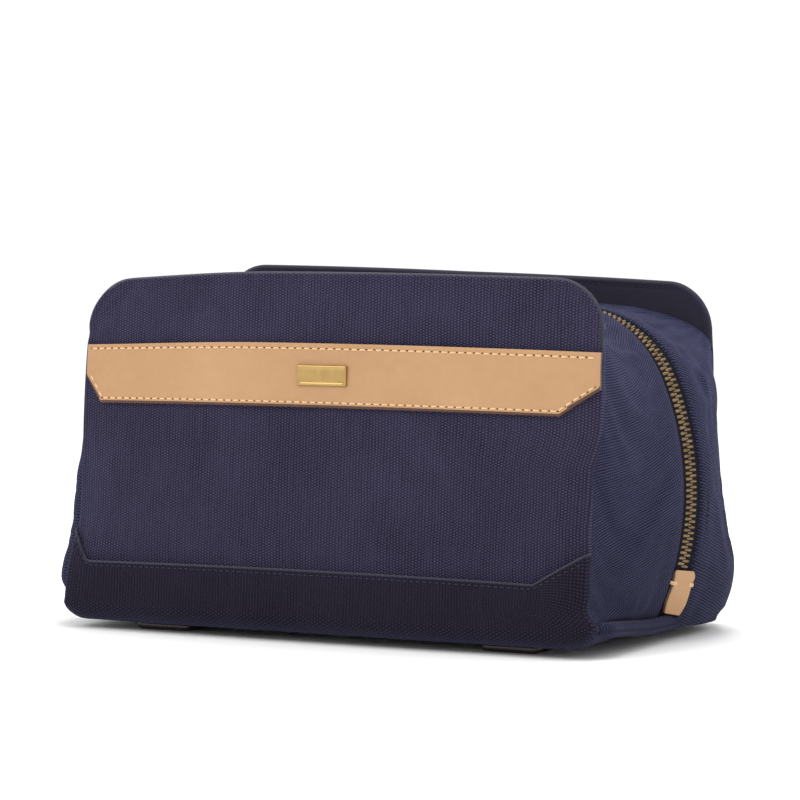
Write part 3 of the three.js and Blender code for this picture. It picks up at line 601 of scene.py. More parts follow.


def canvas(name, gap_colour, thread_colour, rib=1.45, bead=1.2, bump=0.0004, sheen=0.3, shade_at_floor=0.75,
           rib_depth=0.6, float_depth=0.75):
    """Ribbed canvas: ribs along the second pattern direction, with staggered floats and gaps.
    The colour darkens towards the floor, down to the share given for floor level, as painted shade."""
    n = Nodes(name)
    u, v = n.pattern()
    drift = n.noise(70, 2, n.place())
    u = n.math("ADD", u, n.math("MULTIPLY", n.math("SUBTRACT", drift, 0.5), 1.4))
    turns = n.math("DIVIDE", u, rib)
    ridge = n.math("MULTIPLY_ADD", n.math("COSINE", n.math("MULTIPLY", turns, 2 * math.pi)), 0.5, 0.5)
    stagger = n.math("MULTIPLY", n.math("FLOOR", n.math("ADD", turns, 0.5)), 0.5)
    steps = n.math("ADD", n.math("DIVIDE", v, bead), stagger)
    float_ = n.math("MULTIPLY_ADD", n.math("COSINE", n.math("MULTIPLY", steps, 2 * math.pi)), 0.5, 0.5)
    rounded = n.math("MULTIPLY_ADD", ridge, rib_depth, 1 - rib_depth)
    height = n.math("MULTIPLY", rounded, n.math("MULTIPLY_ADD", float_, float_depth, 1 - float_depth))
    streak_place = n.node("CombineXYZ", {0: n.math("MULTIPLY", u, 0.55), 1: n.math("MULTIPLY", v, 0.06)})
    streak = n.noise(1.0, 2, streak_place)
    lint = n.noise(2600, 2, n.place())
    blotch = n.noise(28, 4, n.place())
    tone = height
    for source, strength in ((lint, 0.6), (blotch, 0.35), (streak, 0.25)):
        tone = n.math("ADD", tone, n.math("MULTIPLY", n.math("SUBTRACT", source, 0.5), strength))
    colour = n.mix(n.math("MINIMUM", n.math("MAXIMUM", tone, 0.0), 1.0), gap_colour, thread_colour)
    # Painted shade: the colour darkens from full strength at the set height down to the floor-level share at
    # the floor.
    up = n.node("SeparateXYZ", {0: n.place()}, output=2)
    shade_factor = n.node("MapRange", {"Value": up, "From Min": 0.0, "From Max": PAINTED_SHADE_BELOW,
                                "To Min": shade_at_floor, "To Max": 1.0})
    shade = n.node("CombineXYZ", {0: shade_factor, 1: shade_factor, 2: shade_factor})
    shaded_colour = n.node("VectorMath", {0: colour, 1: shade}, operation="MULTIPLY")
    n.bump(n.math("ADD", height, n.math("MULTIPLY", lint, 0.35)), bump)
    return n.finish(base_color=shaded_colour, roughness=0.9, sheen_weight=sheen, sheen_roughness=0.45,
                    sheen_tint=rgb(120, 125, 175), specular_IOR_level=0.12)


def plain_cloth(name, low, high, grain=1500, bump=0.0001, roughness=0.85, sheen=0.2):
    n = Nodes(name)
    u, v = n.pattern()
    warp = n.math("SINE", n.math("MULTIPLY", u, 2 * math.pi / 0.5))
    weft = n.math("SINE", n.math("MULTIPLY", v, 2 * math.pi / 0.5))
    weave = n.math("MULTIPLY_ADD", n.math("MULTIPLY", warp, weft), 0.5, 0.5)
    lint = n.noise(grain, 2, n.place())
    tone = n.math("MULTIPLY_ADD", weave, 0.4, n.math("MULTIPLY", lint, 0.6))
    n.bump(tone, bump)
    return n.finish(base_color=n.mix(tone, low, high), roughness=roughness, sheen_weight=sheen,
                    specular_IOR_level=0.2)


def leather(name):
    n = Nodes(name)
    cloud = n.noise(22, 5, n.place(), 0.6)
    pores = n.noise(1900, 3, n.place())
    fleck = n.noise(320, 2, n.place())
    tone = n.math("MULTIPLY_ADD", cloud, 0.75, n.math("MULTIPLY", fleck, 0.25))
    colour = n.mix(tone, rgb(162, 119, 80), rgb(196, 157, 117))
    n.bump(n.math("MULTIPLY_ADD", pores, 0.6, n.math("MULTIPLY", fleck, 0.4)), 0.00006)
    rough = n.math("MULTIPLY_ADD", fleck, 0.2, 0.4)
    return n.finish(base_color=colour, roughness=rough, specular_IOR_level=0.35)


def metal(name, low, high, roughness):
    n = Nodes(name)
    wear = n.noise(260, 4, n.place())
    scratch = n.noise(1600, 2, n.place())
    n.bump(scratch, 0.00002)
    rough = n.math("MULTIPLY_ADD", wear, 0.25, roughness)
    return n.finish(base_color=n.mix(wear, low, high), metallic=1.0, roughness=rough)


def simple(name, low, high, roughness, scale=300, bump=0.00003, specular=0.5):
    n = Nodes(name)
    grain = n.noise(scale, 3, n.place())
    n.bump(grain, bump)
    return n.finish(base_color=n.mix(grain, low, high), roughness=roughness, specular_IOR_level=specular)


# Each canvas darkens towards the floor as painted shade, by its share at floor level.
CANVAS = canvas("navy canvas", rgb(5, 4, 9), rgb(74, 69, 97))
# The boot and base cloth is the same canvas in darker colours, with deeper darkening towards the floor: a
# shaded copy, painted shade.
CANVAS_BOOT_SHADED = canvas("navy boot canvas", rgb(5, 4, 7), rgb(62, 54, 76), shade_at_floor=0.42)
CANVAS_SIDE = canvas("navy gusset canvas", rgb(4, 4, 9), rgb(70, 70, 102), rib=1.3, sheen=0.2,
                     shade_at_floor=0.6, rib_depth=0.85, float_depth=0.5)
# Plain edge cloth for the fin rims and the boot's top edge; on the boot it is lighter than the shaded boot
# cloth, a painted highlight along the raised edge.
CANVAS_EDGE = plain_cloth("canvas edge", rgb(12, 11, 19), rgb(56, 53, 75), 2400, 0.0003, sheen=0.25)
FACING = plain_cloth("dark navy facing", rgb(22, 20, 32), rgb(47, 44, 63))
LINING = plain_cloth("lining", rgb(66, 72, 96), rgb(96, 102, 130), roughness=0.6)
TAPE = plain_cloth("zip tape", rgb(8, 7, 12), rgb(20, 19, 29), sheen=0.0)
LEATHER = leather("tan leather")
EDGE_PAINT = simple("leather edge paint", rgb(52, 30, 22), rgb(86, 52, 36), 0.45)
TAN_THREAD = simple("tan thread", rgb(205, 160, 110), rgb(240, 205, 160), 0.7, 2200, 0.0001)
NAVY_THREAD = simple("navy thread", rgb(16, 15, 30), rgb(44, 42, 70), 0.7, 2200, 0.0001)
# Needle holes are flat dark discs at the leather's face: painted shade for each hole's recess.
HOLE_SHADE = simple("needle hole", rgb(36, 18, 12), rgb(60, 34, 22), 0.9)
BRASS = metal("antique brass", rgb(62, 48, 37), rgb(166, 141, 108), 0.32)
PLATE_BRASS = metal("polished brass", rgb(160, 130, 82), rgb(196, 164, 106), 0.22)
FOOT_LOOK = simple("foot plastic", rgb(26, 18, 16), rgb(46, 36, 32), 0.22)
BOARD = simple("fibre board", rgb(120, 104, 78), rgb(150, 132, 104), 0.9, 700, 0.00015)

# ---- Panels ----


def own(piece, body, slot, *nodes):
    """Rides a body and stands for CAD nodes, where it has any; slot is not used."""
    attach(piece, body)
    if nodes:
        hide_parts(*nodes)
    return piece


def panel_grid(bottom, margin, step):
    """The x and z of a grid that fills a panel's outline, `margin` inside it, with fine edges."""
    heights = rolled(bottom, FIN_TOP - margin, step, RIM_RADIUS, both=False)
    radius = CORNER - margin
    above = np.clip(heights - (FIN_TOP - margin - radius), 0, radius)
    half = half_length(heights) - margin - (radius - np.sqrt(radius ** 2 - above ** 2))
    turn = RIM_RADIUS * (1 - np.cos(np.linspace(0, math.pi / 2, 6)))
    flat = np.linspace(0, 1, int(2 * HALF_BASE / step) + 1)[:, None]
    left = -half + turn[:, None]
    middle = lerp(-half + RIM_RADIUS, half - RIM_RADIUS, flat)
    x = np.concatenate([left[:-1], middle, -left[:-1][::-1]]).T
    return x, np.broadcast_to(heights[:, None], x.shape)


def rim_relief(distance):
    """The stitched rim of a panel: a rounded edge, a groove under the stitches."""
    groove = 0.45 * bell(distance, RIM_STITCHES, 0.8)
    return edge_drop(distance, RIM_RADIUS) + groove - 0.25 * bell(distance, 1.6, 0.9)


def make_cover(side, prefix, body):
    x, z = panel_grid(FOLD, 0, 2.0)
    distance = outline_distance(x, z)
    relief = rim_relief(distance) + 0.7 * bell(z, boot_edge(x) + 1.2, 1.6)
    thickness = 0.9 * smooth(distance, 0.2, 4) + 0.05
    outer = panel(side, x, z, relief)
    inner = panel(side, x, z, relief + thickness)
    edge = (distance < 1.2) & (z > SEAM_END_HEIGHT)
    cover = sheet_shape(outer, inner, np.stack([x, z], -1), marks=edge)
    cover = cover.piece(f"{prefix} cover", [CANVAS, CANVAS_EDGE])
    own(cover, body, "navy_twill", f"{prefix}_cover")
    x, z = panel_grid(FOLD + 4, 4.5, 4.0)
    board = sheet_shape(panel(side, x, z, 2.0), panel(side, x, z, 3.2), np.stack([x, z], -1))
    own(board.piece(f"{prefix} board", BOARD), body, "stiffener", f"{prefix}_board")


def seam_height(x):
    along = np.maximum(0, np.abs(x) - SEAM_LEVEL_HALF) / (half_length(SEAM_END_HEIGHT) - SEAM_LEVEL_HALF)
    return SEAM_END_HEIGHT + (ZIP_TOP - SEAM_END_HEIGHT) * np.sqrt(np.maximum(0, 1 - along ** 2))


def make_strip(side, name, look, slot, body, to_rim):
    """The cloth on a panel's inner face: the fin's facing, up to the rim, or the lining below it."""
    half = half_length(SEAM_END_HEIGHT) - 0.02
    across = half * np.sin(np.linspace(-math.pi / 2, math.pi / 2, 121))
    low = seam_height(across) - 2 if to_rim else np.full_like(across, FOLD + 2)
    beyond = np.maximum(0, np.abs(across) - (half_length(FIN_TOP - CORNER) - CORNER))
    rim = FIN_TOP - CORNER + np.sqrt(np.maximum(0, CORNER ** 2 - beyond ** 2))
    high = rim if to_rim else seam_height(across) - 2.3
    share = rolled(0, 1, 0.06, 0.12, both=False) if to_rim else np.linspace(0, 1, 30)
    x = np.broadcast_to(across, (len(share), len(across)))
    z = lerp(low, high, share[:, None])
    distance = np.maximum(outline_distance(x, z), 0)
    relief = rim_relief(distance) if to_rim else 0 * distance
    inset = 2 * RIM_RADIUS - relief
    thickness = 0.7 * smooth(distance, 0.2, 4) + 0.05
    shape = sheet_shape(panel(side, x, z, inset), panel(side, x, z, inset - thickness), np.stack([x, z], -1))
    own(shape.piece(name, look), body, slot, name.replace(" ", "_"))


def make_pocket(side, prefix, body):
    """A slip pocket on the lining, with a bound mouth that stands a little open."""
    low, high = box_mm(f"{prefix}_pocket")
    bind_low, bind_high = box_mm(f"{prefix}_pocket_binding")
    x = spaced(low[0], high[0], 5)
    for name, look, bottom, top, thick in (
        ("pocket", LINING, low[2], high[2], 0.8),
        ("pocket binding", FACING, bind_low[2] - 0.3, bind_high[2], 1.6),
    ):
        z = spaced(bottom, top, 4)[:, None]
        grid_x = np.broadcast_to(x, (len(z), len(x)))
        open_ = 1.2 * np.cos(grid_x / high[0] * math.pi / 2) * smooth(z, low[2], bind_high[2])
        inset = 6.0 + open_ + 0.3 * ripple(grid_x, z + 0 * grid_x, 25, 2.0)
        outer = panel(side, grid_x, z, inset - thick / 2, soft=False)
        inner = panel(side, grid_x, z, inset + thick / 2, soft=False)
        shape = sheet_shape(outer, inner, np.stack([grid_x, z + 0 * grid_x], -1))
        slot = "lining" if look is LINING else "navy_facing"
        own(shape.piece(f"{prefix} {name}", look), body, slot, f"{prefix}_{name.replace(' ', '_')}")


def rim_line(inside, step=1.0):
    """The x and z of a line that runs round a fin, `inside` its outline, between its two seam ends."""
    start = SEAM_END_HEIGHT + 2
    radius = CORNER - inside
    centre_z = FIN_TOP - CORNER
    up = spaced(start, centre_z, step)
    turn = np.linspace(0, math.pi / 2, 24)
    centre_x = half_length(centre_z) - CORNER
    right_x = np.concatenate([half_length(up) - inside, centre_x + radius * np.cos(turn)])
    right_z = np.concatenate([up, centre_z + radius * np.sin(turn)])
    top_x = spaced(centre_x, -centre_x, step)
    x = np.concatenate([right_x, top_x, -right_x[::-1]])
    z = np.concatenate([right_z, np.full_like(top_x, FIN_TOP - inside), right_z[::-1]])
    return x, z


def make_rim_stitches(side, prefix, body):
    x, z = rim_line(RIM_STITCHES)
    surface = lambda inset: panel(side, x, z, inset)
    for name, inset, way in (("outer", 0.4, side), ("inner", 2 * RIM_RADIUS - 0.4, -side)):
        normals = np.tile([0.0, way, 0.0], (len(x), 1))
        row = stitch_row(f"{prefix} fin {name} stitches", surface(inset), normals, NAVY_THREAD)
        own(row, body, "navy_twill")


for side_, prefix_, body_ in HALVES:
    make_cover(side_, prefix_, body_)
    make_strip(side_, f"{prefix_} fin facing", FACING, "navy_facing", body_, True)
    make_strip(side_, f"{prefix_} lining", LINING, "lining", body_, False)
    make_pocket(side_, prefix_, body_)
    make_rim_stitches(side_, prefix_, body_)

# ---- Boots and base ----


def boot_surface(side, x, share, offset):
    """From the boot's top edge (share 0) down the panel and round the base's edge (share 1)."""
    x, share = np.broadcast_arrays(x, share)
    top = boot_edge(x)
    z = lerp(top, FOLD, np.clip(share / BOOT_WALL, 0, 1))
    upper = panel(side, x, z, -offset, soft=False)
    way = np.clip((share - BOOT_WALL) / (1 - BOOT_WALL), 0, 1) * (BASE_ARC + 4)
    lower = base_section(x, np.maximum(way, 0.001), offset)
    lower[..., 1] *= -side
    roll = end_roll(side, x, np.full_like(x, FOLD))
    lower[..., 1] -= side * roll * np.cos(np.clip(way / BASE_ARC, 0, 1) * math.pi / 2)
    mixed = smooth(share, BOOT_WALL - 0.04, BOOT_WALL + 0.04)[..., None]
    return lerp(upper, lower, mixed)


def make_boot(side, prefix, body):
    x = rolled(-HALF_BASE + BOOT_SHORT, HALF_BASE - BOOT_SHORT, 2.0, 2.4)
    share = np.concatenate([[0, 0.004, 0.012, 0.025, 0.045, 0.06, 0.075], np.linspace(0.1, 1, 34)])[:, None]
    x = np.broadcast_to(x, (len(share), x.shape[0]))
    below = share * BOOT_RUN
    end_near = HALF_BASE - BOOT_SHORT - np.abs(x)
    proud = 1.6 - edge_drop(below, 0.9) - 0.35 * bell(below, 2.6, 0.7) - edge_drop(end_near, 2.4)
    puff = 0.4 * ripple(x, below + 0 * x, 22, 4.4 + side) * smooth(below, 2, 10)
    thinner = lerp(1.0, 0.3, smooth(share, 0.68, 0.92))
    outer = boot_surface(side, x, share, (proud + puff) * thinner)
    inner = boot_surface(side, x, share, 0.2 * thinner - edge_drop(end_near, RIM_RADIUS))
    pattern = np.stack([x, -below + 0 * x], -1)
    # The first cells below the boot's top edge take the lighter edge cloth, as painted highlight along the
    # raised edge.
    boot = sheet_shape(outer, inner, pattern, marks=below + 0 * x < 0.9)
    boot = boot.piece(f"{prefix} boot", [CANVAS_BOOT_SHADED, CANVAS_EDGE])
    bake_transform(boot)
    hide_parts(f"{prefix}_boot")
    line_x = spaced(-HALF_BASE + 3, HALF_BASE - 3, 1)
    line = boot_surface(side, line_x, np.full_like(line_x, 2.7 / BOOT_RUN), 1.25)
    row = stitch_row(f"{prefix} boot stitches", line, np.tile([0.0, side, 0.0], (len(line), 1)), NAVY_THREAD)
    own(row, body, "navy_twill")


def make_base():
    x = rolled(-HALF_BASE + 1, HALF_BASE - 1, 4, BASE_RADIUS)
    turned = np.linspace(0, 13, 12)
    middle = np.linspace(16, BASE_RUN - 16, 40)
    way = np.concatenate([turned, middle, np.linspace(BASE_RUN - 13, BASE_RUN, 12)])
    grid_x, grid_way = np.meshgrid(x, way)
    outer = base_section(grid_x, grid_way, 0.0)
    inner = base_section(grid_x, grid_way, -1.2)
    inner[..., 2] += 0.3
    base = sheet_shape(outer, inner, np.stack([grid_x, grid_way], -1)).piece("base cloth", CANVAS_BOOT_SHADED)
    own(base, "base", "navy_twill", "base_cover")
    low, high = box_mm("base_lining")
    x, y = np.meshgrid(spaced(low[0], high[0], 8), spaced(low[1], high[1], 8))
    swell = 0.4 * ripple(x, y, 40, 9.0)
    top = np.stack([x, y, high[2] + swell], -1)
    bottom = np.stack([x, y, low[2] + 0 * x], -1)
    lining = sheet_shape(top, bottom, np.stack([x, y], -1)).piece("base lining", LINING)
    own(lining, "base", "lining", "base_lining")


def make_welt(end, name):
    low, high = box_mm(f"{name}_base_welt")
    run = spaced(-HALF_DEPTH_WELT, HALF_DEPTH_WELT, 2)
    x = end * (np.abs(low[0] + high[0]) / 2 - 2.0 + 1.0 * (1 - (run / HALF_DEPTH_WELT) ** 2))
    x = x + end * 0.5 * ripple(run, 0 * run, 24, 1.5 * end)
    height = (low[2] + high[2]) / 2 + 0.6 * ripple(run, 0 * run, 30, 6 + end)
    height = height + 3.8 * smooth(-run, 10, HALF_DEPTH_WELT)
    curl = 6.0 * smooth(np.abs(run), HALF_DEPTH_WELT - 12, HALF_DEPTH_WELT + 3)
    path = np.stack([x - end * curl, run, height], -1)
    thick = 2.8 * np.sqrt(np.clip(1 - (np.abs(run) / (HALF_DEPTH_WELT + 1)) ** 16, 0, 1)) + 0.2
    turn = np.linspace(0, 2 * math.pi, 20)
    stitch_turn = 1.05                # the stitches lie in a groove at this angle
    groove = 1 - 0.16 * bell(turn, stitch_turn, 0.2)
    points = path[:, None] + np.stack([
        end * 0.85 * thick[:, None] * (np.cos(turn) * groove)[None],
        np.zeros((len(run), len(turn))),
        1.15 * thick[:, None] * (np.sin(turn) * groove)[None],
    ], -1)
    count, sides = points.shape[:2]
    at = np.arange(count * (sides - 1)).reshape(count, sides - 1)
    after = np.roll(at, -1, 1)
    sides_faces = np.stack([at[:-1], after[:-1], after[1:], at[1:]], -1).reshape(-1, 4).tolist()
    caps = [at[0].tolist(), at[-1].tolist()]
    around = np.broadcast_to(turn[:-1] * 3, (count, sides - 1))
    pattern = np.stack([np.broadcast_to(run[:, None], around.shape), around], -1)
    shape = Shape()
    shape.add(points[:, :-1], sides_faces + caps, pattern)
    own(shape.piece(f"{name} base welt", CANVAS_SIDE), "base", "navy_twill", f"{name}_base_welt")
    lean = np.array([end * math.cos(stitch_turn), 0, math.sin(stitch_turn)])
    line = path + lean * np.array([0.85, 0, 1.15]) * (thick * 0.84)[:, None]
    inner = slice(3, -3)
    row = stitch_row(f"{name} welt stitches", line[inner], np.tile(lean, (len(line[inner]), 1)), NAVY_THREAD,
                     radius=0.34, proud=0.15)
    own(row, "base", "navy_twill")


make_boot(FRONT, "front", "front_half")
make_boot(REAR, "rear", "rear_half")
make_base()
make_welt(-1, "left")
make_welt(1, "right")

# ---- Gusset, zip tape and teeth ----


def bend_with_half(piece, side, body, slot, *nodes):
    """Bakes the piece's placement into its mesh and hides the CAD nodes it stands for; side, body and slot
    are not used.
    """
    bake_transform(piece)
    if nodes:
        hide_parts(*nodes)


RIB_CLIMB = 0.3                       # the gusset's ribs climb towards the zip by this slope


def make_gusset(side, prefix, body):
    stations = spaced(-GUSSET_RUN, GUSSET_RUN, 1.5)
    across = np.concatenate([np.linspace(0, 0.9, 26), [0.93, 0.955, 0.975, 0.99, 0.997, 1.0]])
    d, t = np.meshgrid(stations, across)
    near_zip = (1 - t) * GUSSET_SPAN
    drop = edge_drop(near_zip, 1.1) + 0.3 * bell(near_zip, GUSSET_STITCHES, 0.8)
    outer = gusset(side, d, t, drop)
    inner = gusset(side, d, t, 1.3 + 0 * d)
    climb = RIB_CLIMB * 68 * t * np.clip(d / TOP_RUN, -1, 1)
    ribs = np.stack([d + rib_shift(side, d) * (1 - t) + climb, t * 68], -1)
    piece = sheet_shape(outer, inner, ribs).piece(f"{prefix} gusset", CANVAS_SIDE)
    bend_with_half(piece, side, body, "navy_twill", f"{prefix}_gusset")
    lining = sheet_shape(gusset(side, d, t, 2.7 + 0 * d), gusset(side, d, t, 3.4 + 0 * d), ribs)
    lining = lining.piece(f"{prefix} gusset lining", LINING)
    bend_with_half(lining, side, body, "lining", f"{prefix}_gusset_lining")
    line_d = spaced(-ZIP_RUN + 12, ZIP_RUN - 12, 1)
    line_t = np.full_like(line_d, 1 - GUSSET_STITCHES / GUSSET_SPAN)
    surface = lambda a, b: gusset(side, a, b, 0.3 + 0 * a)
    facing = normals_of(surface, line_d, line_t, zip_line(line_d)[1])
    row = stitch_row(f"{prefix} gusset stitches", surface(line_d, line_t), facing, NAVY_THREAD)
    bend_with_half(row, side, body, "navy_twill")


TEETH_END_RIGHT = side_distance(tab_high[2] + 1.6)
TEETH_END_LEFT = -side_distance(teeth_low[2])
TOOTH_PITCH = 2.54
# each tooth by its reach across the zip, half width and depth of its outer face
TOOTH_STATIONS = ((2.85, 0.42, 0.9), (2.5, 0.62, 0.4), (1.2, 0.66, 0.2), (-0.1, 0.52, 0.3), (-0.45, 0.3, 0.7))
TOOTH_BOTTOM = 1.5


def make_tape(side, prefix, body):
    d = spaced(-GUSSET_RUN, GUSSET_RUN, 3)
    y = np.array([0.35, 2.9, 4.2, 8.0, 11.5])
    grid_d, grid_y = np.meshgrid(d, y)
    depth = 0.9 + 0.55 * smooth(grid_y, 3.0, 4.2)
    outer = zip_point(grid_d, side * grid_y, depth)
    inner = zip_point(grid_d, side * grid_y, depth + 0.7)
    tape = sheet_shape(outer, inner, np.stack([grid_d, grid_y], -1))
    bend_with_half(tape.piece(f"{prefix} zip tape", TAPE), side, body, "zip_tape", f"{prefix}_zip_tape")


def make_teeth(side, prefix, body):
    shape = Shape()
    first = TEETH_END_LEFT + (TOOTH_PITCH / 2 if side == REAR else 0)
    section = np.array([(-1, None), (-1, 0.45), (-0.55, 0), (0.55, 0), (1, 0.45), (1, None)], object)
    faces = [[0, 1, 2, 3, 4, 5], [24, 25, 26, 27, 28, 29][::-1]]
    for ring in range(4):
        for k in range(6):
            a, b = ring * 6 + k, ring * 6 + (k + 1) % 6
            faces.append([a, a + 6, b + 6, b])
    for centre in np.arange(first, TEETH_END_RIGHT, TOOTH_PITCH):
        d, y, depth = [], [], []
        for reach, half, top in TOOTH_STATIONS:
            for width, fall in section:
                d.append(centre + half * width)
                y.append(side * reach)
                depth.append(TOOTH_BOTTOM if fall is None else top + fall)
        shape.add(zip_point(np.array(d), np.array(y), np.array(depth)), faces)
    teeth = shape.piece(f"{prefix} zip teeth", BRASS, sharp=35)
    bend_with_half(teeth, side, body, "antique_brass", f"{prefix}_zip_teeth")


for side_, prefix_, body_ in HALVES:
    make_gusset(side_, prefix_, body_)
    make_tape(side_, prefix_, body_)
    make_teeth(side_, prefix_, body_)

# ---- Leather ----
BAND_BOTTOM, BAND_TOP = band_low[2] - 0.8, band_low[2] + 27.0
BAND_CORNER, BAND_CUT, BAND_CUT_LEFT = 12.0, 17.0, 8.5
BAND_DARK_EDGE = 1.3                      # the dark lower edge shows this far up the band's face: edge paint, and painted shadow under the band's edge
BAND_HALF = half_length(BAND_BOTTOM) - 0.4
BAND_LEFT = BAND_HALF - 2.8
BAND_THICK = 1.9
BAND_GAP = 0.35                       # air between the band and the panel
BAND_STITCHES = 2.4                   # the band's stitches run this far inside its edge


def band_bottom(x):
    cut = np.where(x < 0, BAND_CUT_LEFT, BAND_CUT)
    half = np.where(x < 0, BAND_LEFT, BAND_HALF)
    return BAND_BOTTOM + BAND_CORNER * np.clip((np.abs(x) - (half - cut)) / cut, 0, 1)


def make_band():
    left, right = BAND_CUT_LEFT - BAND_LEFT, BAND_HALF - BAND_CUT
    ends = rolled(-BAND_LEFT, left, 1.5, 0.4), rolled(right, BAND_HALF, 1.5, 0.4)
    x = np.concatenate([ends[0][:-1], spaced(left, right, 2.5), ends[1][1:]])
    share = rolled(0, 1, 0.03, 0.05)
    grid_x, grid_share = np.meshgrid(x, share)
    z = lerp(band_bottom(grid_x), BAND_TOP, grid_share)
    from_end = np.minimum(BAND_HALF - grid_x, grid_x + BAND_LEFT)
    above = z - band_bottom(grid_x)
    distance = np.minimum(np.minimum(above, BAND_TOP - z), from_end)
    groove = 0.18 * bell(distance, BAND_STITCHES, 0.6)
    top = BAND_GAP + BAND_THICK - edge_drop(distance, 0.45) - 0.5 * edge_drop(above, BAND_DARK_EDGE) - groove
    outer = panel(FRONT, grid_x, z, -top, soft=False)
    inner = panel(FRONT, grid_x, z, -BAND_GAP, soft=False)
    # The lowest strip of the band's face takes the edge paint colour: partly real edge paint, partly painted
    # shadow under the band.
    painted = above < BAND_DARK_EDGE
    band = sheet_shape(outer, inner, np.stack([grid_x, z], -1), rim_slot=1, marks=painted)
    own(band.piece("leather band", [LEATHER, EDGE_PAINT]), "front_half", "tan_leather", "leather_band")


def band_line(inside):
    """The stitch line round the band, `inside` its edge, clockwise from its top left."""
    def end(half, cut):
        slope = math.hypot(BAND_CORNER, cut)
        across = half - cut - inside * (slope - cut) / BAND_CORNER
        corner = BAND_BOTTOM + BAND_CORNER + inside * (slope - BAND_CORNER) / cut
        return half - inside, across, corner

    left, left_cut, left_corner = end(BAND_LEFT, BAND_CUT_LEFT)
    right, right_cut, right_corner = end(BAND_HALF, BAND_CUT)
    return [(-left, BAND_TOP - inside), (right, BAND_TOP - inside), (right, right_corner),
            (right_cut, BAND_BOTTOM + inside), (-left_cut, BAND_BOTTOM + inside), (-left, left_corner)]


def make_band_stitches():
    corners = band_line(BAND_STITCHES)
    threads, holes = Shape(), Shape()
    pitch = 3.83
    for start, end in ((0, 1), (2, 3), (3, 4), (4, 5)):
        (x0, z0), (x1, z1) = corners[start], corners[end]
        steps = max(1, round(math.hypot(x1 - x0, z1 - z0) / pitch))
        for k in range(steps):
            share = (k + np.linspace(0.14, 0.86, 5)) / steps
            x, z = lerp(x0, x1, share), lerp(z0, z1, share)
            height = BAND_GAP + BAND_THICK - 0.18 + np.array([-0.3, 0.15, 0.28, 0.15, -0.3])
            path = panel(FRONT, x, z, -height, soft=False)
            add_tube(threads, path, 0.42 * np.array([0.7, 1, 1, 1, 0.7]), np.array([0, -1.0, 0]))
            # Each needle hole is a flat dark disc at the band's face, painted shade for the hole.
            hole_x, hole_z = lerp(x0, x1, k / steps), lerp(z0, z1, k / steps)
            top = panel(FRONT, hole_x, hole_z, -(BAND_THICK + 0.2), soft=False)
            rim = np.array([top + [0, 0.3, 0], top, top + [0, -0.02, 0]])
            add_tube(holes, rim, [0.66, 0.66, 0.3], np.array([0, 0, 1.0]), sides=8)
    own(threads.piece("band stitches", TAN_THREAD), "front_half", "tan_leather")
    own(holes.piece("band needle holes", HOLE_SHADE), "front_half", "tan_leather")


def tab_point(end, z, y, depth):
    distance = end * np.vectorize(side_distance)(z)
    return zip_point(distance, y, depth)


# the tab's half width, as a share of its widest, by how far up it is
TAB_OUTLINE = ((0.0, 0.72), (0.06, 0.8), (0.25, 0.93), (0.45, 0.92), (0.62, 0.87), (0.7, 0.85), (0.78, 0.93),
               (0.9, 0.97), (0.96, 0.93), (1.0, 0.8))
TAB_LIFT = 1.3                        # the tabs sit this much higher than the part's


def make_tab(end, name):
    low, high = box_mm(f"{name}_zip_end_tab")
    low[2], high[2] = low[2] + TAB_LIFT, high[2] + TAB_LIFT
    half_width = 0.93 * high[1]
    rises, widths = np.array(TAB_OUTLINE).T
    rise = rolled(0, 1, 0.05, 0.03)
    width = half_width * np.interp(rise, rises, widths)
    across = rolled(-1, 1, 0.16, 0.08)
    y = across[None] * width[:, None]
    z = np.broadcast_to(lerp(low[2], high[2], rise)[:, None], y.shape)
    from_end = np.minimum(rise, 1 - rise)[:, None] * (high[2] - low[2])
    distance = np.minimum(width[:, None] - np.abs(y), from_end)
    fold = 0.5 * smooth(rise, 0.86, 1.0)[:, None]
    thick = 1.4 - edge_drop(distance, 0.5) - 0.25 * bell(rise, 0.7, 0.05)[:, None] + 0 * y
    outer = tab_point(end, z, y, -(0.3 + thick) + fold)
    inner = tab_point(end, z, y, -0.3 + 0 * y)
    shape = sheet_shape(outer, inner, np.stack([y, z], -1), rim_slot=1)
    tab = shape.piece(f"{name} zip end tab", [LEATHER, EDGE_PAINT])
    own(tab, "base", "tan_leather", f"{name}_zip_end_tab")
    tacks = Shape()
    height = lerp(low[2], high[2], 0.7)
    for way in (-1, 1):
        for lift in (-0.5, 0.0, 0.5):
            y_line = way * half_width * np.array([0.62, 0.8, 0.95, 1.02])
            depth_line = -np.array([1.3, 1.75, 1.6, 0.3])
            path = tab_point(end, np.full(4, height + lift), y_line, depth_line)
            add_tube(tacks, path, [0.25, 0.32, 0.32, 0.25], np.array([end * 1.0, 0, 0]))
    own(tacks.piece(f"{name} tab bar tacks", TAN_THREAD), "base", "tan_leather")
    tail_low, tail_high = box_mm(f"{name}_zip_tape_tail")
    z, y = np.meshgrid(spaced(tail_low[2], tail_high[2], 3), np.linspace(-4.5, 4.5, 7), indexing="ij")
    outer = tab_point(end, z, y, 0.1 + 0 * z)
    inner = tab_point(end, z, y, 1.3 + 0 * z)
    tail = sheet_shape(outer, inner, np.stack([y, z], -1))
    own(tail.piece(f"{name} zip tape tail", TAPE), "base", "zip_tape", f"{name}_zip_tape_tail")


make_band()
make_band_stitches()
make_tab(-1, "left")
make_tab(1, "right")

# ---- Hard pieces: the part's own shapes with softened edges ----


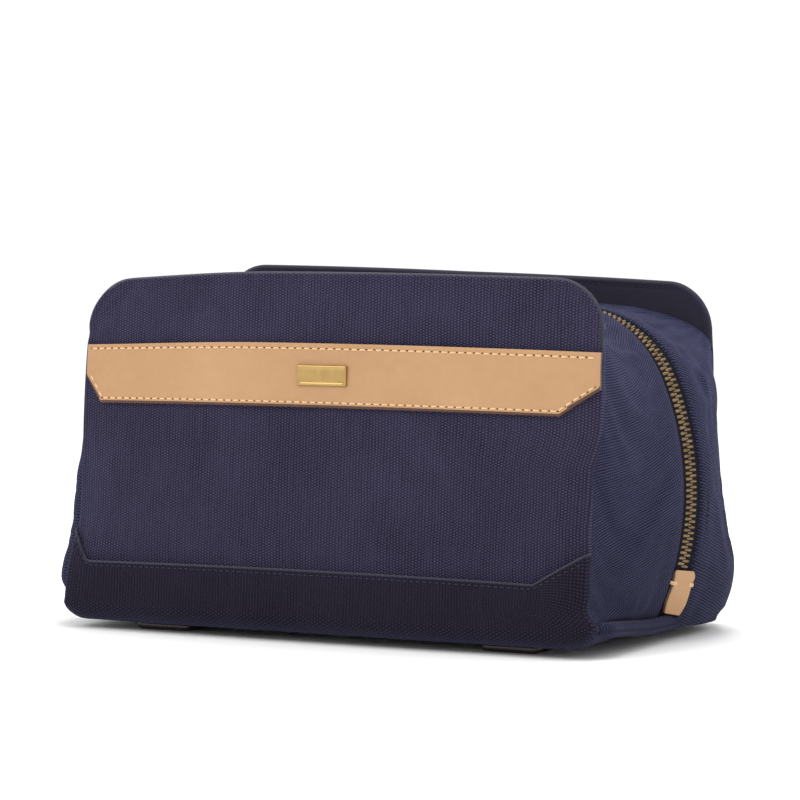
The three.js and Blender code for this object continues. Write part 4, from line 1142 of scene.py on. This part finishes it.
def softened(node, body, slot, look, width, segments=3):
    """A copy of a hard piece's shape with its edges rounded."""
    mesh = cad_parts[node].data.copy()
    work = bmesh.new()
    work.from_mesh(mesh)
    bmesh.ops.remove_doubles(work, verts=work.verts, dist=0.00001)
    bmesh.ops.dissolve_limit(work, angle_limit=math.radians(2), verts=work.verts, edges=work.edges)
    paired = [edge for edge in work.edges if len(edge.link_faces) == 2]
    sharp = [edge for edge in paired if edge.calc_face_angle() > math.radians(35)]
    bmesh.ops.bevel(work, geom=sharp, offset=width * MM, segments=segments, profile=0.5, affect="EDGES",
                    clamp_overlap=True)
    work.to_mesh(mesh)
    work.free()
    mesh.materials.clear()
    mesh.materials.append(look)
    mesh.shade_smooth()
    mesh.set_sharp_from_angle(angle=math.radians(40))
    piece = link(bpy.data.objects.new(node.replace("_", "-"), mesh))
    return own(piece, body, slot, node)


def repaint(node, look):
    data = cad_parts[node].data
    data.materials.clear()
    data.materials.append(look)


def make_plate():
    """A plain bevelled plate with a raised border."""
    low, high = plate_low, plate_high
    centre_x, centre_z = (low[0] + high[0]) / 2, (low[2] + high[2]) / 2
    half_x, half_z = (high[0] - low[0]) / 2, (high[2] - low[2]) / 2
    x, z = np.meshgrid(rolled(-half_x, half_x, 0.5, 0.9), rolled(-half_z, half_z, 0.4, 0.9))
    inside = np.minimum(half_x - np.abs(x), half_z - np.abs(z))
    raised = 1.5 - edge_drop(inside, 0.6) - 0.3 * smooth(inside, 1.0, 1.5)
    back = panel(FRONT, 0.0, centre_z, -(BAND_GAP + BAND_THICK + 0.05), soft=False)[1]
    outer = np.stack([centre_x + x, back - raised, centre_z + z], -1)
    inner = np.stack([centre_x + x, np.full_like(x, back), centre_z + z], -1)
    shape = sheet_shape(outer, inner, np.stack([x, z], -1))
    own(shape.piece("name plate", PLATE_BRASS, sharp=30), "front_half", "antique_brass", "nameplate")


make_plate()
for corner in ("front_left", "front_right", "rear_left", "rear_right"):
    softened(f"{corner}_foot", "base", "foot_plastic", FOOT_LOOK, 0.5)
    repaint(f"{corner}_foot_rivet", BRASS)
for node in ("zip_bottom_stop", "front_zip_top_stop", "rear_zip_top_stop"):
    repaint(node, BRASS)
repaint("base_board", BOARD)
softened("zip_slider", "slider", "antique_brass", BRASS, 0.3)
softened("pull_link", "pull", "antique_brass", BRASS, 0.25)
softened("pull_rivet", "pull", "antique_brass", BRASS, 0.15)
softened("pull_fob", "pull", "tan_leather", LEATHER, 0.45)

# ---- Floor, light and camera ----


def make_floor():
    mesh = bpy.data.meshes.new("floor")
    size = 6.0
    corners = [(-size, -size, 0), (size, -size, 0), (size, size, 0), (-size, size, 0)]
    mesh.from_pydata(corners, [], [(0, 1, 2, 3)])
    n = Nodes("pale floor")
    mesh.materials.append(n.finish(base_color=(0.99, 0.99, 0.99, 1), roughness=0.9))
    link(bpy.data.objects.new("floor", mesh))


def area_light(name, place, target, size, power):
    data = bpy.data.lights.new(name, "AREA")
    data.shape = "DISK"
    data.size = size
    data.energy = power
    light = link(bpy.data.objects.new(name, data))
    light.location = place
    light.rotation_euler = (Vector(target) - Vector(place)).to_track_quat("-Z", "Y").to_euler()


def make_lights():
    world = bpy.data.worlds.new("studio")
    world.use_nodes = True
    background = world.node_tree.nodes["Background"]
    background.inputs["Color"].default_value = (1, 1, 1, 1)
    background.inputs["Strength"].default_value = 1.04
    bpy.context.scene.world = world
    area_light("top", (0.1, 0.2, 1.7), (0, 0, 0.08), 1.0, 12)
    area_light("rear right", (1.2, 0.9, 0.8), (0.05, 0, 0.08), 0.6, 1.5)
    area_light("front", (-0.7, -1.3, 1.3), (0, 0, 0.08), 0.7, 8)
    bpy.context.scene.view_settings.view_transform = "Standard"


def make_camera():
    """A long lens near the level of the bag's top, from 25.6 degrees to the right of straight on."""
    azimuth, pitch, roll = math.radians(25.575), math.radians(2.607), math.radians(0.464)
    level = Vector((-math.sin(azimuth), math.cos(azimuth), 0))
    ahead = level * math.cos(pitch) - Vector((0, 0, math.sin(pitch)))
    right = Vector((math.cos(azimuth), math.sin(azimuth), 0))
    up = right.cross(ahead)
    turned_right = right * math.cos(roll) + up * math.sin(roll)
    turned_up = up * math.cos(roll) - right * math.sin(roll)
    data = bpy.data.cameras.new("camera")
    data.sensor_width = 36
    data.lens = 146.6
    camera = link(bpy.data.objects.new("camera", data))
    rotation = Matrix((turned_right, turned_up, -ahead)).transposed()
    camera.matrix_world = Matrix.Translation((0.6409, -1.3404, 0.1710)) @ rotation.to_4x4()
    bpy.context.scene.camera = camera


make_floor()
make_lights()
make_camera()

bpy.context.view_layer.update()
